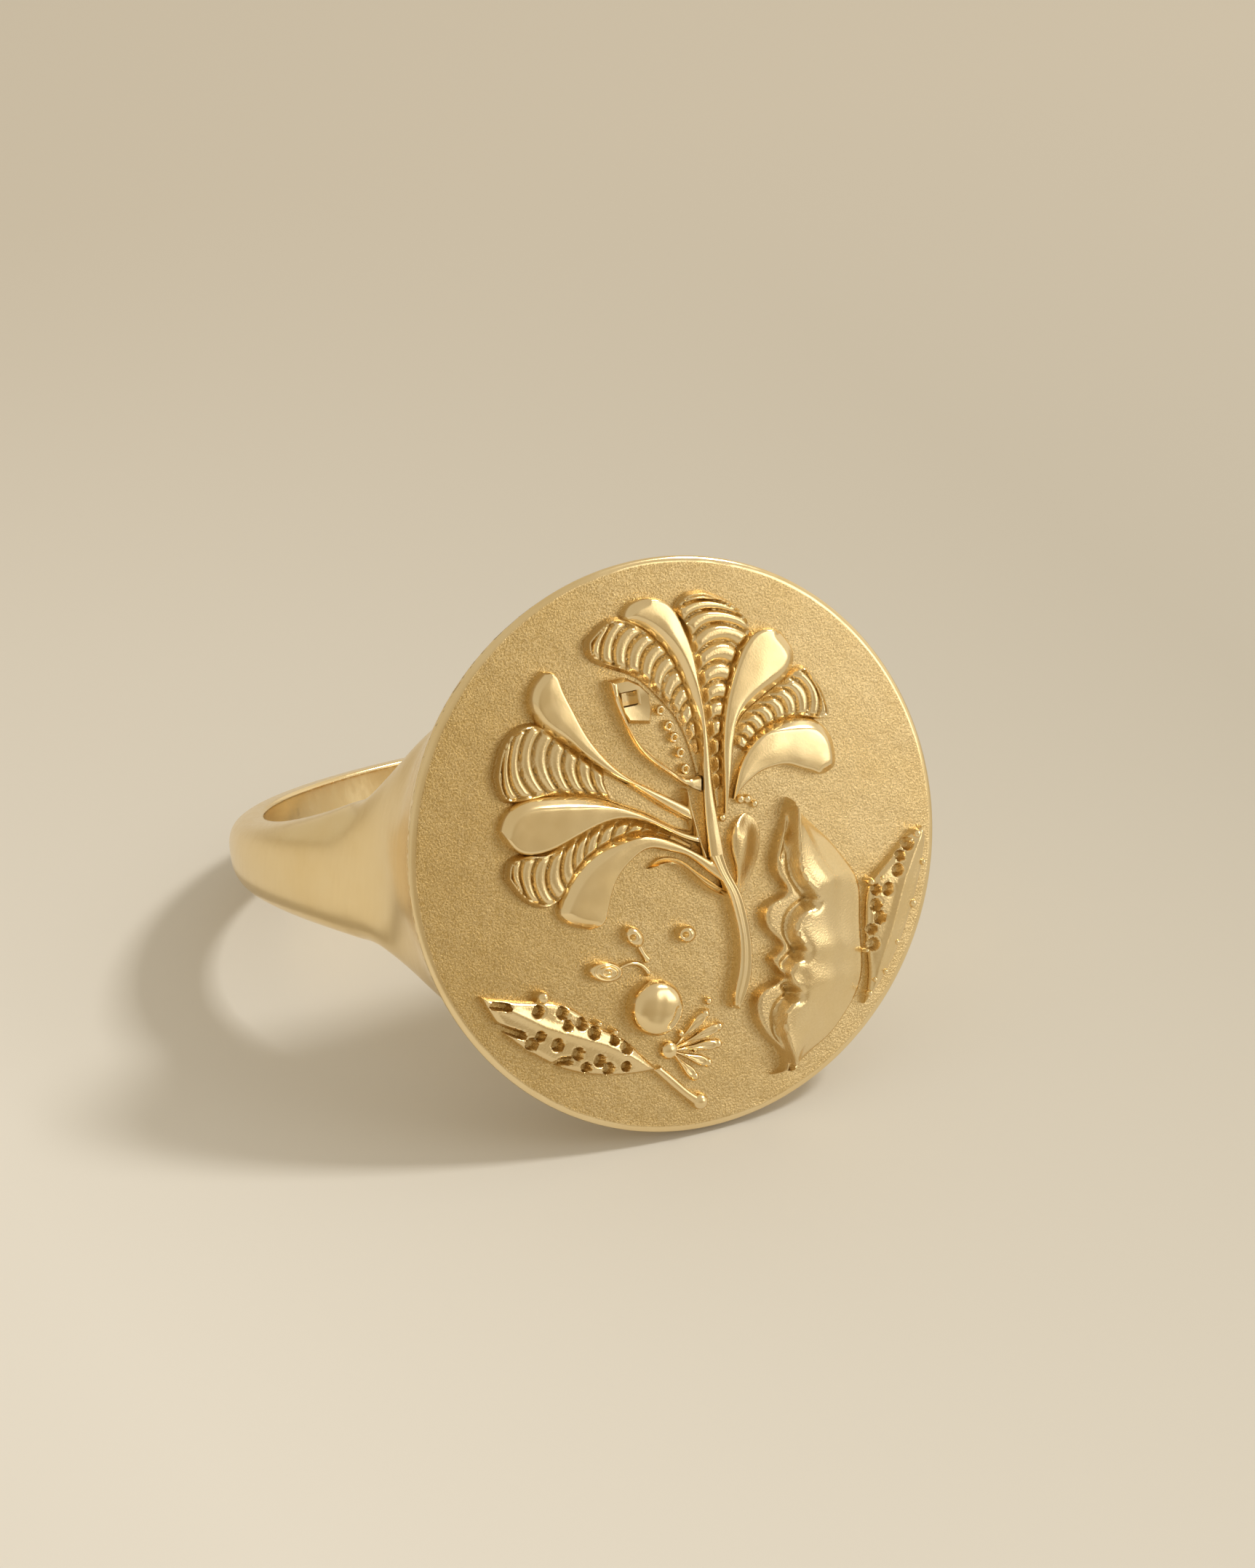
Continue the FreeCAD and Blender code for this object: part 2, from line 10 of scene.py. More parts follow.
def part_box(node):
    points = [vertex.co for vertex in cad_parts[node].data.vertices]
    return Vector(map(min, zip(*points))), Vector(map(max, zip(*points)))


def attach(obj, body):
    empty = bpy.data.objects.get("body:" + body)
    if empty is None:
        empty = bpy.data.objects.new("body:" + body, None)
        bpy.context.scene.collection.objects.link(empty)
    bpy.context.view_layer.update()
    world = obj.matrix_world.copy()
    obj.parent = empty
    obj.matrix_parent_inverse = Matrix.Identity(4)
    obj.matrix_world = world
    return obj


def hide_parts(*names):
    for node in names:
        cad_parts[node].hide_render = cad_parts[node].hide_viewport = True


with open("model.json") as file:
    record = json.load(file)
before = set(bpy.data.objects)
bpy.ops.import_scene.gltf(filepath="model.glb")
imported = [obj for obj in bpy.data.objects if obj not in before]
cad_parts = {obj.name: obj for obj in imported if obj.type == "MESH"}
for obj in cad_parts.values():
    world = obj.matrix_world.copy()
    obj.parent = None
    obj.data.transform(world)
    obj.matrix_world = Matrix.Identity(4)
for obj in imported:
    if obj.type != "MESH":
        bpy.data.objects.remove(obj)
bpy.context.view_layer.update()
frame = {"record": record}

# The signet ring's visual model. Lengths of the ring are in millimetres until a mesh is made,
# and those of the stage and the span of the painted shade on the ground are in metres.
#
# Two frames are used. In the ring frame the finger hole runs along Z through the origin and the
# face looks towards -Y. Face points are (x, y, height): X to the right and Y up from the face's
# centre, with the height measured out of the ground of the face.

MM = 0.001
FINGER_HOLE = frame["record"]["mounts"][0]
BORE_RADIUS = FINGER_HOLE["dims"]["r_mm"]
FACE_HEIGHT = 10.6          # from the axis of the finger hole to the ground of the face
FACE_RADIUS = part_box("face_plate")[1].x / MM
PLATE_THICKNESS = 0.6
FOOT = -0.12                # how far the ornaments are sunk below the ground

UP = Vector(FINGER_HOLE["axis"])
RIGHT = Vector((1, 0, 0))
OUT = RIGHT.cross(UP)
CENTRE = Vector(FINGER_HOLE["pos_m"])

# ---- Shape of the band and the head ----
CROWN_RADIUS = 9.45         # from the axis of the finger hole to the outside of the band
SHANK_SQUARENESS = 2.9
CORNER_REACH = 0.10         # how far the corners of a section are softened
# angles are in degrees round the finger hole, from the middle of the face to the back
PLATE_EDGE_ANGLE = 36       # of the hole's wall that belongs to the plate's edge
HANDOVER_ANGLE = 52         # where the head's side ends
SHANK_ANGLE = 64            # where the section is the shank's alone
HANDOVER_DEPTH = 5.0        # how deep behind the face the head's side ends
HANDOVER_PULL = 1.5         # how long the outline keeps its direction at the handover's ends
# angle and half width of the band
SHANK_HALF_WIDTHS = [(36, 3.9), (40, 3.5), (46, 3.0), (52, 2.6), (60, 2.15), (75, 1.62), (90, 1.28),
                     (105, 1.1), (120, 1.02), (135, 0.97), (150, 0.93), (165, 0.91), (180, 0.9)]
# depth behind the face, half width across, half height, squareness of the section
HEAD_SECTIONS = [(0.22, 8.48, 8.48, 2.0), (0.6, 8.34, 8.25, 2.05), (1.0, 8.16, 7.75, 2.15),
                 (1.5, 7.98, 7.1, 2.3), (2.2, 7.79, 6.05, 2.6), (3.2, 7.64, 5.15, 3.2),
                 (4.4, 7.67, 4.0, 4.0), (5.6, 8.06, 2.8, 4.8), (6.2, 8.36, 2.4, 4.8)]

# ---- Outlines of the ornaments: strips between two edges, both drawn from root to tip ----
PETALS = {
    "petal_lower_left": (
        [(0.8, -0.56), (0.3, -0.16), (-0.4, 0.29), (-1.2, 0.59), (-2.1, 0.57), (-2.8, 0.34),
         (-3.4, -0.06), (-3.95, -0.71), (-4.15, -1.21), (-3.8, -1.61), (-3.2, -1.86)],
        [(1.15, -1.36), (0.55, -0.76), (0.0, -0.26), (-0.55, -0.01), (-1.1, 0.16), (-1.7, -0.06),
         (-2.15, -0.41), (-2.45, -0.86), (-2.65, -1.36), (-2.85, -1.71), (-3.2, -1.86)]),
    "petal_left": (
        [(0.45, 0.24), (-0.2, 0.59), (-0.9, 1.07), (-1.6, 1.49), (-2.4, 1.91), (-3.2, 2.14),
         (-4.1, 2.29), (-4.9, 2.29), (-5.4, 1.99), (-5.62, 1.59)],
        [(0.5, -0.01), (0.1, 0.19), (-0.5, 0.59), (-1.2, 1.02), (-2.0, 1.22), (-2.8, 1.12),
         (-3.6, 0.89), (-4.4, 0.72), (-5.2, 0.89), (-5.62, 1.59)]),
    "petal_upper_left": (
        [(-1.32, 2.1), (-1.82, 2.45), (-2.52, 3.07), (-3.32, 3.8), (-3.97, 4.44), (-4.14, 5.09),
         (-3.92, 5.59), (-3.57, 5.89)],
        [(-1.22, 2.2), (-1.67, 2.6), (-2.17, 3.2), (-2.62, 4.0), (-2.92, 4.79), (-3.12, 5.39),
         (-3.27, 5.79), (-3.57, 5.89)]),
    "petal_top": (
        [(0.76, -0.45), (0.78, 0.6), (0.86, 1.6), (0.98, 2.7), (0.98, 3.7), (0.81, 4.7), (0.51, 5.6),
         (0.06, 6.25), (-0.44, 6.65), (-0.84, 6.95), (-0.69, 7.25), (-0.24, 7.43)],
        [(1.26, -0.45), (1.21, 0.6), (1.18, 1.6), (1.24, 2.7), (1.26, 3.7), (1.21, 4.7), (1.14, 5.6),
         (0.98, 6.25), (0.81, 6.75), (0.61, 7.1), (0.26, 7.35), (-0.24, 7.43)]),
    "petal_upper_right": (
        [(1.43, 0.69), (1.53, 1.4), (1.63, 2.3), (1.78, 3.2), (2.03, 4.04), (2.38, 4.79),
         (2.78, 5.44), (3.18, 5.77), (3.68, 5.84), (4.13, 5.64)],
        [(1.58, 0.79), (1.73, 1.4), (1.9, 2.1), (2.08, 2.8), (2.43, 3.35), (2.98, 3.72), (3.63, 4.04),
         (4.18, 4.34), (4.46, 4.84), (4.13, 5.64)]),
    "petal_right": (
        [(1.78, 1.09), (1.98, 1.65), (2.28, 2.2), (2.68, 2.6), (3.18, 2.9), (3.78, 3.02), (4.38, 3.0),
         (4.93, 2.8), (5.28, 2.35), (5.38, 1.79), (5.28, 1.34), (4.93, 1.18)],
        [(1.83, 1.04), (2.08, 1.29), (2.38, 1.49), (2.78, 1.68), (3.28, 1.75), (3.68, 1.72),
         (3.98, 1.59), (4.23, 1.47), (4.43, 1.38), (4.63, 1.26), (4.78, 1.2), (4.93, 1.18)]),
}
# the edge of each petal that falls away as a facet, and how wide the facet is
FACET_DEPTH = 0.2
PETAL_FACETS = {
    "petal_lower_left": ("first", 0.3), "petal_left": ("first", 0.34),
    "petal_upper_left": ("first", 0.22), "petal_top": ("first", 0.26),
    "petal_upper_right": ("second", 0.38), "petal_right": ("first", 0.34),
}
UPPER_LEFT_STALK = (
    [(-1.3, 2.28), (-0.6, 1.81), (-0.1, 1.47), (0.42, 1.1)],
    [(-1.42, 2.14), (-0.9, 1.69), (-0.3, 1.19), (0.48, 0.62)])
COLUMN_WALL = (
    [(0.3, 1.62), (0.32, 1.1), (0.38, 0.55), (0.46, 0.05), (0.58, -0.45)],
    [(0.39, 1.66), (0.43, 1.1), (0.5, 0.55), (0.58, 0.05), (0.72, -0.52)])

# Fans between the petals: number of ridges, where along the fan they begin, and the outline.
FANS = {
    "fan_lower_left": (13, 0.1, (
        [(0.42, -0.04), (-0.43, 0.56), (-1.13, 0.99), (-1.93, 1.19), (-2.73, 1.09), (-3.53, 0.86),
         (-4.33, 0.69), (-5.03, 0.78), (-5.48, 0.61), (-5.63, 0.16)],
        [(0.37, -0.19), (-0.33, 0.26), (-1.13, 0.56), (-2.03, 0.54), (-2.73, 0.31), (-3.33, -0.09),
         (-3.88, -0.74), (-4.43, -0.94), (-5.08, -0.66), (-5.63, 0.16)])),
    "fan_left": (10, 0.38, (
        [(0.37, 0.71), (-0.43, 1.31), (-1.23, 2.01), (-1.93, 2.56), (-2.63, 3.21), (-3.23, 3.76),
         (-3.83, 4.36), (-4.43, 4.48), (-5.08, 4.11), (-5.53, 3.16)],
        [(0.47, 0.31), (-0.13, 0.56), (-0.83, 1.06), (-1.53, 1.46), (-2.33, 1.88), (-3.13, 2.11),
         (-4.03, 2.26), (-4.73, 2.26), (-5.28, 2.36), (-5.53, 3.16)])),
    "fan_top_left": (12, 0.08, (
        [(0.85, 1.97), (0.77, 2.67), (0.6, 3.37), (0.35, 3.92), (-0.05, 4.47), (-0.55, 5.07),
         (-1.25, 5.47), (-1.75, 5.72), (-2.1, 6.07), (-2.1, 6.52)],
        [(1.05, 1.97), (1.07, 2.67), (1.07, 3.37), (1.02, 4.07), (0.9, 4.67), (0.65, 5.47),
         (0.2, 6.17), (-0.35, 6.67), (-1.05, 7.02), (-2.1, 6.52)])),
    "fan_top_right": (13, 0.06, (
        [(1.35, 0.87), (1.33, 1.87), (1.35, 2.87), (1.35, 3.87), (1.3, 4.77), (1.23, 5.57),
         (1.05, 6.27), (0.85, 6.87), (1.15, 7.25), (1.85, 7.29)],
        [(1.5, 0.87), (1.65, 1.87), (1.8, 2.87), (2.1, 3.87), (2.45, 4.77), (2.85, 5.42), (3.2, 5.82),
         (3.15, 6.17), (2.7, 6.77), (1.85, 7.29)])),
    "fan_right": (11, 0.2, (
        [(1.8, 1.37), (2.0, 2.17), (2.15, 2.77), (2.5, 3.32), (3.05, 3.69), (3.7, 4.02), (4.25, 4.37),
         (4.65, 4.52), (5.05, 4.17), (5.3, 3.57)],
        [(1.95, 1.37), (2.1, 1.77), (2.35, 2.17), (2.75, 2.57), (3.25, 2.87), (3.85, 2.99),
         (4.45, 2.97), (4.95, 2.82), (5.25, 2.82), (5.3, 3.57)])),
}

FLOWER_STEM = (
    [(0.76, -0.45), (0.93, -1.01), (1.18, -1.66), (1.28, -2.3), (1.33, -2.9), (1.28, -3.5),
     (1.13, -4.11), (0.92, -4.66), (0.88, -5.0)],
    [(1.26, -0.45), (1.38, -1.01), (1.63, -1.66), (1.75, -2.3), (1.78, -2.9), (1.76, -3.5),
     (1.65, -4.11), (1.43, -4.66), (1.08, -5.16)])

SEED_BUD_FRAME = (
    [(0.76, 1.45), (0.28, 1.8), (-0.12, 2.16), (-0.57, 2.58), (-0.97, 3.08), (-1.22, 3.6),
     (-1.4, 4.09), (-1.56, 4.69), (-1.62, 5.25)],
    [(0.84, 1.95), (0.3, 2.04), (0.0, 2.3), (-0.44, 2.72), (-0.82, 3.17), (-1.08, 3.65),
     (-1.22, 4.12), (-1.34, 4.7), (-1.34, 5.19)])
SEED_BUD_HOOD = [(-1.57, 5.25), (-1.07, 5.25), (-0.67, 5.0), (-0.37, 4.64), (-0.37, 4.09),
                 (-0.47, 3.75), (-1.17, 3.9), (-1.32, 4.19)]
SEED_BUD_EYE = [(-1.27, 4.81), (-1.02, 4.81), (-0.77, 4.81), (-0.77, 4.62), (-0.77, 4.44),
                (-1.02, 4.44), (-1.27, 4.44), (-1.27, 4.62)]
BEADS = [(-0.05, 4.07), (0.15, 3.57), (0.27, 3.2), (0.4, 2.72), (0.48, 2.22)]
BEAD_RADIUS = 0.17

LEFT_SEPAL = (
    [(1.12, -1.77), (0.77, -1.57), (0.37, -1.17), (-0.08, -0.64), (-0.48, -0.42), (-0.83, -0.42),
     (-1.13, -0.47)],
    [(1.17, -1.52), (0.72, -1.12), (0.32, -0.72), (-0.08, -0.37), (-0.48, -0.22), (-0.78, -0.22),
     (-1.13, -0.47)])
RIGHT_CALYX = (
    [(1.6, -1.81), (1.65, -1.31), (1.6, -0.81), (1.55, -0.31), (1.65, 0.09), (1.9, 0.39),
     (2.3, 0.54)],
    [(1.85, -1.81), (2.2, -1.35), (2.48, -0.85), (2.64, -0.35), (2.66, 0.03), (2.56, 0.28),
     (2.4, 0.44)])
CALYX_GRAINS = [(2.12, 0.98, 0.15), (2.34, 0.94, 0.15), (2.57, 0.75, 0.12), (1.47, 0.55, 0.13)]

ACANTHUS_LEAF = (
    [(1.9, -7.36), (2.3, -7.14), (2.28, -6.78), (2.0, -6.36), (1.66, -5.82), (1.57, -5.27),
     (1.69, -4.87), (2.14, -4.62), (2.54, -4.47), (2.39, -4.17), (2.31, -3.87), (2.67, -3.59),
     (2.44, -3.22), (2.24, -2.82), (2.31, -2.37), (2.64, -2.14), (3.07, -1.97), (2.89, -1.57),
     (2.82, -1.17), (2.94, -0.72), (3.24, -0.12), (3.66, 0.73)],
    [(1.9, -7.36), (2.6, -7.32), (3.22, -7.0), (3.95, -6.62), (4.55, -6.12), (5.02, -5.6),
     (5.3, -5.1), (5.42, -4.55), (5.46, -3.95), (5.52, -3.35), (5.6, -2.8), (5.62, -2.3),
     (5.5, -1.86), (5.24, -1.4), (4.96, -0.96), (4.64, -0.54), (4.28, -0.12), (3.98, 0.28),
     (3.66, 0.73)])
ACANTHUS_FOLD = [(2.44, -7.05), (2.3, -6.45), (2.24, -5.8), (2.42, -5.35), (2.86, -5.02),
                 (2.68, -4.62), (2.66, -4.3), (2.9, -4.05), (3.22, -3.82), (3.05, -3.35),
                 (3.08, -2.9), (3.4, -2.6), (3.82, -2.38), (3.6, -1.85), (3.42, -1.3), (3.45, -0.8),
                 (3.5, -0.2), (3.62, 0.5)]
ACANTHUS_POCKETS = [(2.86, -5.05), (3.22, -3.88), (3.8, -2.45)]
ACANTHUS_TIP_GROOVE = [(3.52, 0.25), (3.42, -0.2), (3.1, -0.95)]

LEFT_FERN = (
    [(-1.83, -6.25), (-2.13, -5.87), (-2.58, -5.32), (-3.08, -4.92), (-3.63, -4.52), (-3.98, -4.12),
     (-4.48, -3.78), (-4.93, -3.58), (-5.35, -3.5), (-5.85, -3.37), (-6.38, -3.22), (-6.93, -3.04)],
    [(-1.83, -6.37), (-2.48, -6.33), (-3.18, -6.22), (-3.88, -6.04), (-4.48, -5.8), (-4.98, -5.5),
     (-5.38, -5.2), (-5.78, -4.87), (-6.18, -4.47), (-6.48, -4.03), (-6.72, -3.57), (-6.93, -3.04)])
LEFT_FERN_DIMPLES = [
    (-5.63, -4.72), (-5.33, -4.55), (-4.83, -4.92), (-4.23, -5.32), (-4.03, -5.77), (-3.58, -5.67),
    (-3.33, -5.97), (-2.78, -6.02), (-5.28, -3.82), (-4.53, -4.02), (-4.43, -4.42), (-3.98, -4.47),
    (-3.63, -4.82), (-3.03, -5.17), (-2.68, -5.47)]
LEFT_FERN_SLOTS = [[(-6.62, -3.98), (-6.2, -4.22), (-5.88, -4.4)],
                   [(-6.62, -3.36), (-6.4, -3.42), (-6.2, -3.5)],
                   [(-4.95, -5.5), (-4.75, -5.42), (-4.5, -5.46)]]
LEFT_FERN_KNOBS = [(-5.05, -3.46, 0.22), (-3.42, -4.6, 0.12), (-2.95, -4.96, 0.13)]
PIT_RADIUS = 0.21

RIGHT_FERN = (
    [(5.22, -5.9), (5.44, -5.3), (5.54, -4.71), (5.57, -4.11), (5.62, -3.51), (5.72, -2.91),
     (5.9, -2.41), (6.3, -2.01), (6.9, -1.56), (7.5, -1.11), (7.9, -0.98)],
    [(5.22, -5.9), (5.62, -5.58), (6.07, -5.1), (6.5, -4.55), (6.88, -3.95), (7.22, -3.3),
     (7.5, -2.7), (7.72, -2.15), (7.86, -1.7), (7.96, -1.3), (7.9, -0.98)])
RIGHT_FERN_DIMPLES = [(7.3, -1.41), (7.0, -1.71), (6.85, -2.11), (6.45, -2.61), (6.05, -2.55),
                      (5.98, -3.01), (6.05, -3.41), (5.75, -3.71), (5.75, -4.16)]
RIGHT_FERN_KNOBS = [(7.66, -1.18, 0.17), (7.72, -2.05, 0.12), (7.22, -3.21, 0.16),
                    (6.52, -4.26, 0.12), (6.0, -5.05, 0.12), (5.62, -5.22, 0.11), (5.4, -5.6, 0.12),
                    (5.95, -2.3, 0.14), (6.3, -2.25, 0.1), (5.48, -4.3, 0.1), (7.42, -1.32, 0.1)]

FERN_STALK = (
    [(-1.93, -6.32), (-1.43, -6.92), (-1.03, -7.37), (-0.73, -7.67)],
    [(-1.63, -6.27), (-1.18, -6.77), (-0.78, -7.22), (-0.48, -7.47)])
STALK_KNOB = (-0.52, -7.6, 0.26)

BERRY_CENTRE = (-1.55, -4.52)
BERRY_RADIUS = 0.85
BERRY_CREASE = [(-1.3, -5.1), (-1.12, -4.92), (-0.98, -4.66)]

# centre, half length, half width, and turn in degrees of each bud
BUDS = {
    "bud_left": ((-2.96, -3.14), 0.56, 0.32, -15),
    "bud_middle": ((-1.9, -2.32), 0.38, 0.26, -60),
    "bud_right": ((-0.23, -2.59), 0.3, 0.28, 0),
}
BUD_STALKS = [([(-1.86, -2.62), (-1.74, -2.9), (-1.6, -3.2)],
               [(-1.68, -2.54), (-1.58, -2.84), (-1.4, -3.1)]),
              ([(-2.44, -3.2), (-2.1, -3.16), (-1.8, -3.3), (-1.62, -3.6)],
               [(-2.44, -3.08), (-2.08, -3.02), (-1.7, -3.16), (-1.46, -3.5)])]

SPRIG_ROOT = (-1.25, -5.9)
SPRIG_TIPS = [(0.2, -4.95), (0.62, -5.48), (0.5, -6.05), (0.05, -6.6), (-0.5, -6.95)]
SPRIG_HALF_WIDTH = 0.15
SPRIG_GRAINS = [(0.22, -4.73, 0.12), (-0.8, -5.5, 0.11), (-0.3, -5.35, 0.1), (-0.42, -6.05, 0.1),
                (0.98, -4.98, 0.13)]


# ---- Places ----
def ring_to_world(points):
    """Ring frame points in millimetres as world points in metres."""
    axes = np.array([RIGHT, -OUT, UP])
    return np.asarray(points) @ axes * MM + np.array(CENTRE)


def face_to_world(points):
    """Face points in millimetres as world points in metres."""
    points = np.asarray(points)
    return ring_to_world(np.stack([points[:, 0], -FACE_HEIGHT - points[:, 2], points[:, 1]], 1))


# ---- Curves ----
def smooth_through(knots, values):
    """A function that runs smoothly through the values at the knots: a natural cubic spline."""
    knots = np.asarray(knots, float)
    values = np.asarray(values, float).reshape(len(knots), -1)
    gaps = np.diff(knots)
    slopes = np.diff(values, axis=0) / gaps[:, None]
    system = np.eye(len(knots))
    turns = np.zeros_like(values)
    for i in range(1, len(knots) - 1):
        system[i, i - 1:i + 2] = gaps[i - 1], 2 * (gaps[i - 1] + gaps[i]), gaps[i]
        turns[i] = 6 * (slopes[i] - slopes[i - 1])
    bend = np.linalg.solve(system, turns)

    def value(at):
        at = np.atleast_1d(np.asarray(at, float))
        i = np.clip(np.searchsorted(knots, at) - 1, 0, len(knots) - 2)
        gap = gaps[i][:, None]
        after = (at - knots[i])[:, None]
        before = gap - after
        return ((bend[i] * before ** 3 + bend[i + 1] * after ** 3) / (6 * gap)
                + (values[i] / gap - bend[i] * gap / 6) * before
                + (values[i + 1] / gap - bend[i + 1] * gap / 6) * after)

    return value


def steady_through(table):
    """A function that runs smoothly through a table's columns without overshooting any value."""
    table = np.asarray(table, float)
    knots, values = table[:, 0], table[:, 1:]
    gaps = np.diff(knots)[:, None]
    slopes = np.diff(values, axis=0) / gaps
    product = slopes[:-1] * slopes[1:]
    total = np.where(np.abs(slopes[:-1] + slopes[1:]) < 1e-9, 1.0, slopes[:-1] + slopes[1:])
    inner = np.where(product > 0, 2 * product / total, 0)
    lean = np.concatenate([slopes[:1], inner, slopes[-1:]])

    def value(at):
        at = np.clip(np.atleast_1d(np.asarray(at, float)), knots[0], knots[-1])
        i = np.clip(np.searchsorted(knots, at) - 1, 0, len(knots) - 2)
        gap = gaps[i]
        share = (at - knots[i])[:, None] / gap
        rise = share * share * (3 - 2 * share)
        return (values[i] * (1 - rise) + values[i + 1] * rise
                + gap * lean[i] * share * (1 - share) ** 2
                - gap * lean[i + 1] * share ** 2 * (1 - share))

    return value


def length_along(path):
    """The length of a path of straight segments, up to each of its points."""
    return np.concatenate([[0], np.cumsum(np.linalg.norm(np.diff(path, axis=0), axis=1))])


def points_along(path, at):
    """Points of a path of straight segments at the given lengths along it."""
    length = length_along(path)
    return np.column_stack([np.interp(at, length, path[:, k]) for k in (0, 1)])


def curve_through(points):
    """A smooth plane curve through the points, as a function of the share of its length."""
    points = np.asarray(points, float)
    length = length_along(points)
    return smooth_through(length / length[-1], points)


def crowded(count, amount):
    """Shares from 0 to 1 that crowd together towards both ends."""
    share = np.linspace(0, 1, count)
    return share - amount * np.sin(2 * math.pi * share) / (2 * math.pi)


def distance_to(path, x, y):
    """Distance from each point of a grid to a path of straight segments."""
    path = np.asarray(path, float)
    start, step = path[:-1], np.diff(path, axis=0)
    size = np.maximum((step ** 2).sum(1), 1e-12)
    from_x = x.ravel()[:, None] - start[:, 0]
    from_y = y.ravel()[:, None] - start[:, 1]
    share = np.clip((from_x * step[:, 0] + from_y * step[:, 1]) / size, 0, 1)
    squares = (from_x - share * step[:, 0]) ** 2 + (from_y - share * step[:, 1]) ** 2
    return np.sqrt(squares.min(1)).reshape(x.shape)


# ---- Height profiles ----
def round_over(distance, reach):
    """Rises from 0 at an outline to 1 at the given reach inside it, as a quarter circle."""
    return np.sqrt(1 - (1 - np.clip(distance / reach, 0, 1)) ** 2)


def ease(value, low, high):
    """0 below low, 1 above high, and smooth between them."""
    share = np.clip((value - low) / (high - low), 0, 1)
    return share * share * (3 - 2 * share)


def bell(value, middle, width):
    """1 at the middle, fading to 0 at about twice the width on both sides."""
    return np.exp(-((value - middle) / width) ** 2)


def spot(x, y, centre, radius):
    """A soft round spot: 1 at its centre, fading to 0 at about twice its radius."""
    return np.exp(-((x - centre[0]) ** 2 + (y - centre[1]) ** 2) / radius ** 2)


def line(x, y, path, width):
    """A soft line along a path."""
    return bell(distance_to(path, x, y), 0, width)


def waver(x, y, size):
    """Slow, uneven waves between about -1 and 1, as handwork leaves them."""
    k = 2 * math.pi / size
    return (np.sin(k * (x + 0.31 * y) + 1.3) * np.sin(k * (0.83 * y - 0.2 * x) + 0.4)
            + 0.6 * np.sin(k * 1.7 * (0.6 * x - y) + 2.1) * np.sin(k * 1.9 * (x + 0.4 * y))) / 1.6


# ---- Grids over the face ----
class Strip:
    """A grid between two edges, with each point's distance to the outline.

    s runs from 0 at the root to 1 at the tip, and t from 0 at the first edge to 1 at the second.
    An open root isn't part of the outline, so the top runs on level there.
    """

    def __init__(self, edges, along, across, open_root=False):
        share = crowded(along, 0.6)
        span = crowded(across, 0.9)
        curves = [curve_through(edge) for edge in edges]
        first, second = (curve(share) for curve in curves)
        grid = first[:, None] * (1 - span)[None, :, None] + second[:, None] * span[None, :, None]
        self.x, self.y = grid[..., 0], grid[..., 1]
        self.s = np.repeat(share[:, None], across, 1)
        self.t = np.repeat(span[None, :], along, 0)
        self.width = np.linalg.norm(first - second, axis=1)[:, None] + 0 * self.t
        middle = (first + second) / 2
        self.length = np.linalg.norm(np.diff(middle, axis=0), axis=1).sum()
        dense = np.linspace(0, 1, 160)
        outline = [curves[0](dense), curves[1](dense)[::-1]]
        if not open_root:
            outline.append(curves[0](dense)[:1])
        self.d = distance_to(np.concatenate(outline), self.x, self.y)
        self.d_first = distance_to(outline[0], self.x, self.y)
        self.d_second = distance_to(outline[1], self.x, self.y)


class Disc:
    """A round or oval grid, from its rim at share 1 to its centre at share 0."""

    def __init__(self, centre, half_length, half_width, turn=0.0, rings=16, spokes=40):
        self.share = np.repeat(np.cos(np.linspace(0, math.pi / 2, rings))[:, None], spokes, 1)
        angle = np.linspace(0, 2 * math.pi, spokes, endpoint=False)
        along = half_length * self.share * np.cos(angle)
        aside = half_width * self.share * np.sin(angle)
        turn = math.radians(turn)
        self.x = centre[0] + along * math.cos(turn) - aside * math.sin(turn)
        self.y = centre[1] + along * math.sin(turn) + aside * math.cos(turn)


# ---- Meshes ----
def grid_faces(rows, columns, wrap=False):
    """Quads over a grid of points, closed round its columns when it wraps."""
    faces = []
    for i in range(rows - 1):
        for j in range(columns if wrap else columns - 1):
            k = (j + 1) % columns
            faces.append((i * columns + j, i * columns + k, (i + 1) * columns + k,
                          (i + 1) * columns + j))
    return faces


def raised(grid, height, polish=1.0):
    """A closed body: the grid at its heights, walls down to the foot, and an underside."""
    rows, columns = grid.x.shape
    top = np.stack([grid.x, grid.y, height], -1).reshape(-1, 3)
    wrap = isinstance(grid, Disc)
    border = list(range(columns))
    if not wrap:
        border += [i * columns + columns - 1 for i in range(1, rows)]
        border += [(rows - 1) * columns + j for j in range(columns - 2, -1, -1)]
        border += [i * columns for i in range(rows - 2, 0, -1)]
    foot = top[border].copy()
    foot[:, 2] = FOOT
    faces = grid_faces(rows, columns, wrap)
    count = len(border)
    for i in range(count):
        j = (i + 1) % count
        faces.append((border[j], border[i], len(top) + i, len(top) + j))
    faces.append(tuple(range(len(top) + count - 1, len(top) - 1, -1)))
    shine = np.concatenate([np.broadcast_to(polish, grid.x.shape).ravel(), np.ones(count)])
    return np.concatenate([top, foot]), faces, shine


def lofted(loops):
    """Points and faces of a closed body through loops that have equally many points."""
    points = np.concatenate(loops)
    corners = len(loops[0])
    faces = grid_faces(len(loops), corners, wrap=True)
    faces.append(tuple(range(corners)))
    faces.append(tuple(range(len(points) - 1, len(points) - corners - 1, -1)))
    return points, faces


def joined(bodies):
    """Several bodies as one set of points, faces and polish."""
    points, faces, shine = [], [], []
    start = 0
    for body_points, body_faces, body_shine in bodies:
        points.append(body_points)
        shine.append(body_shine)
        faces += [tuple(start + i for i in face) for face in body_faces]
        start += len(body_points)
    return np.concatenate(points), faces, np.concatenate(shine)


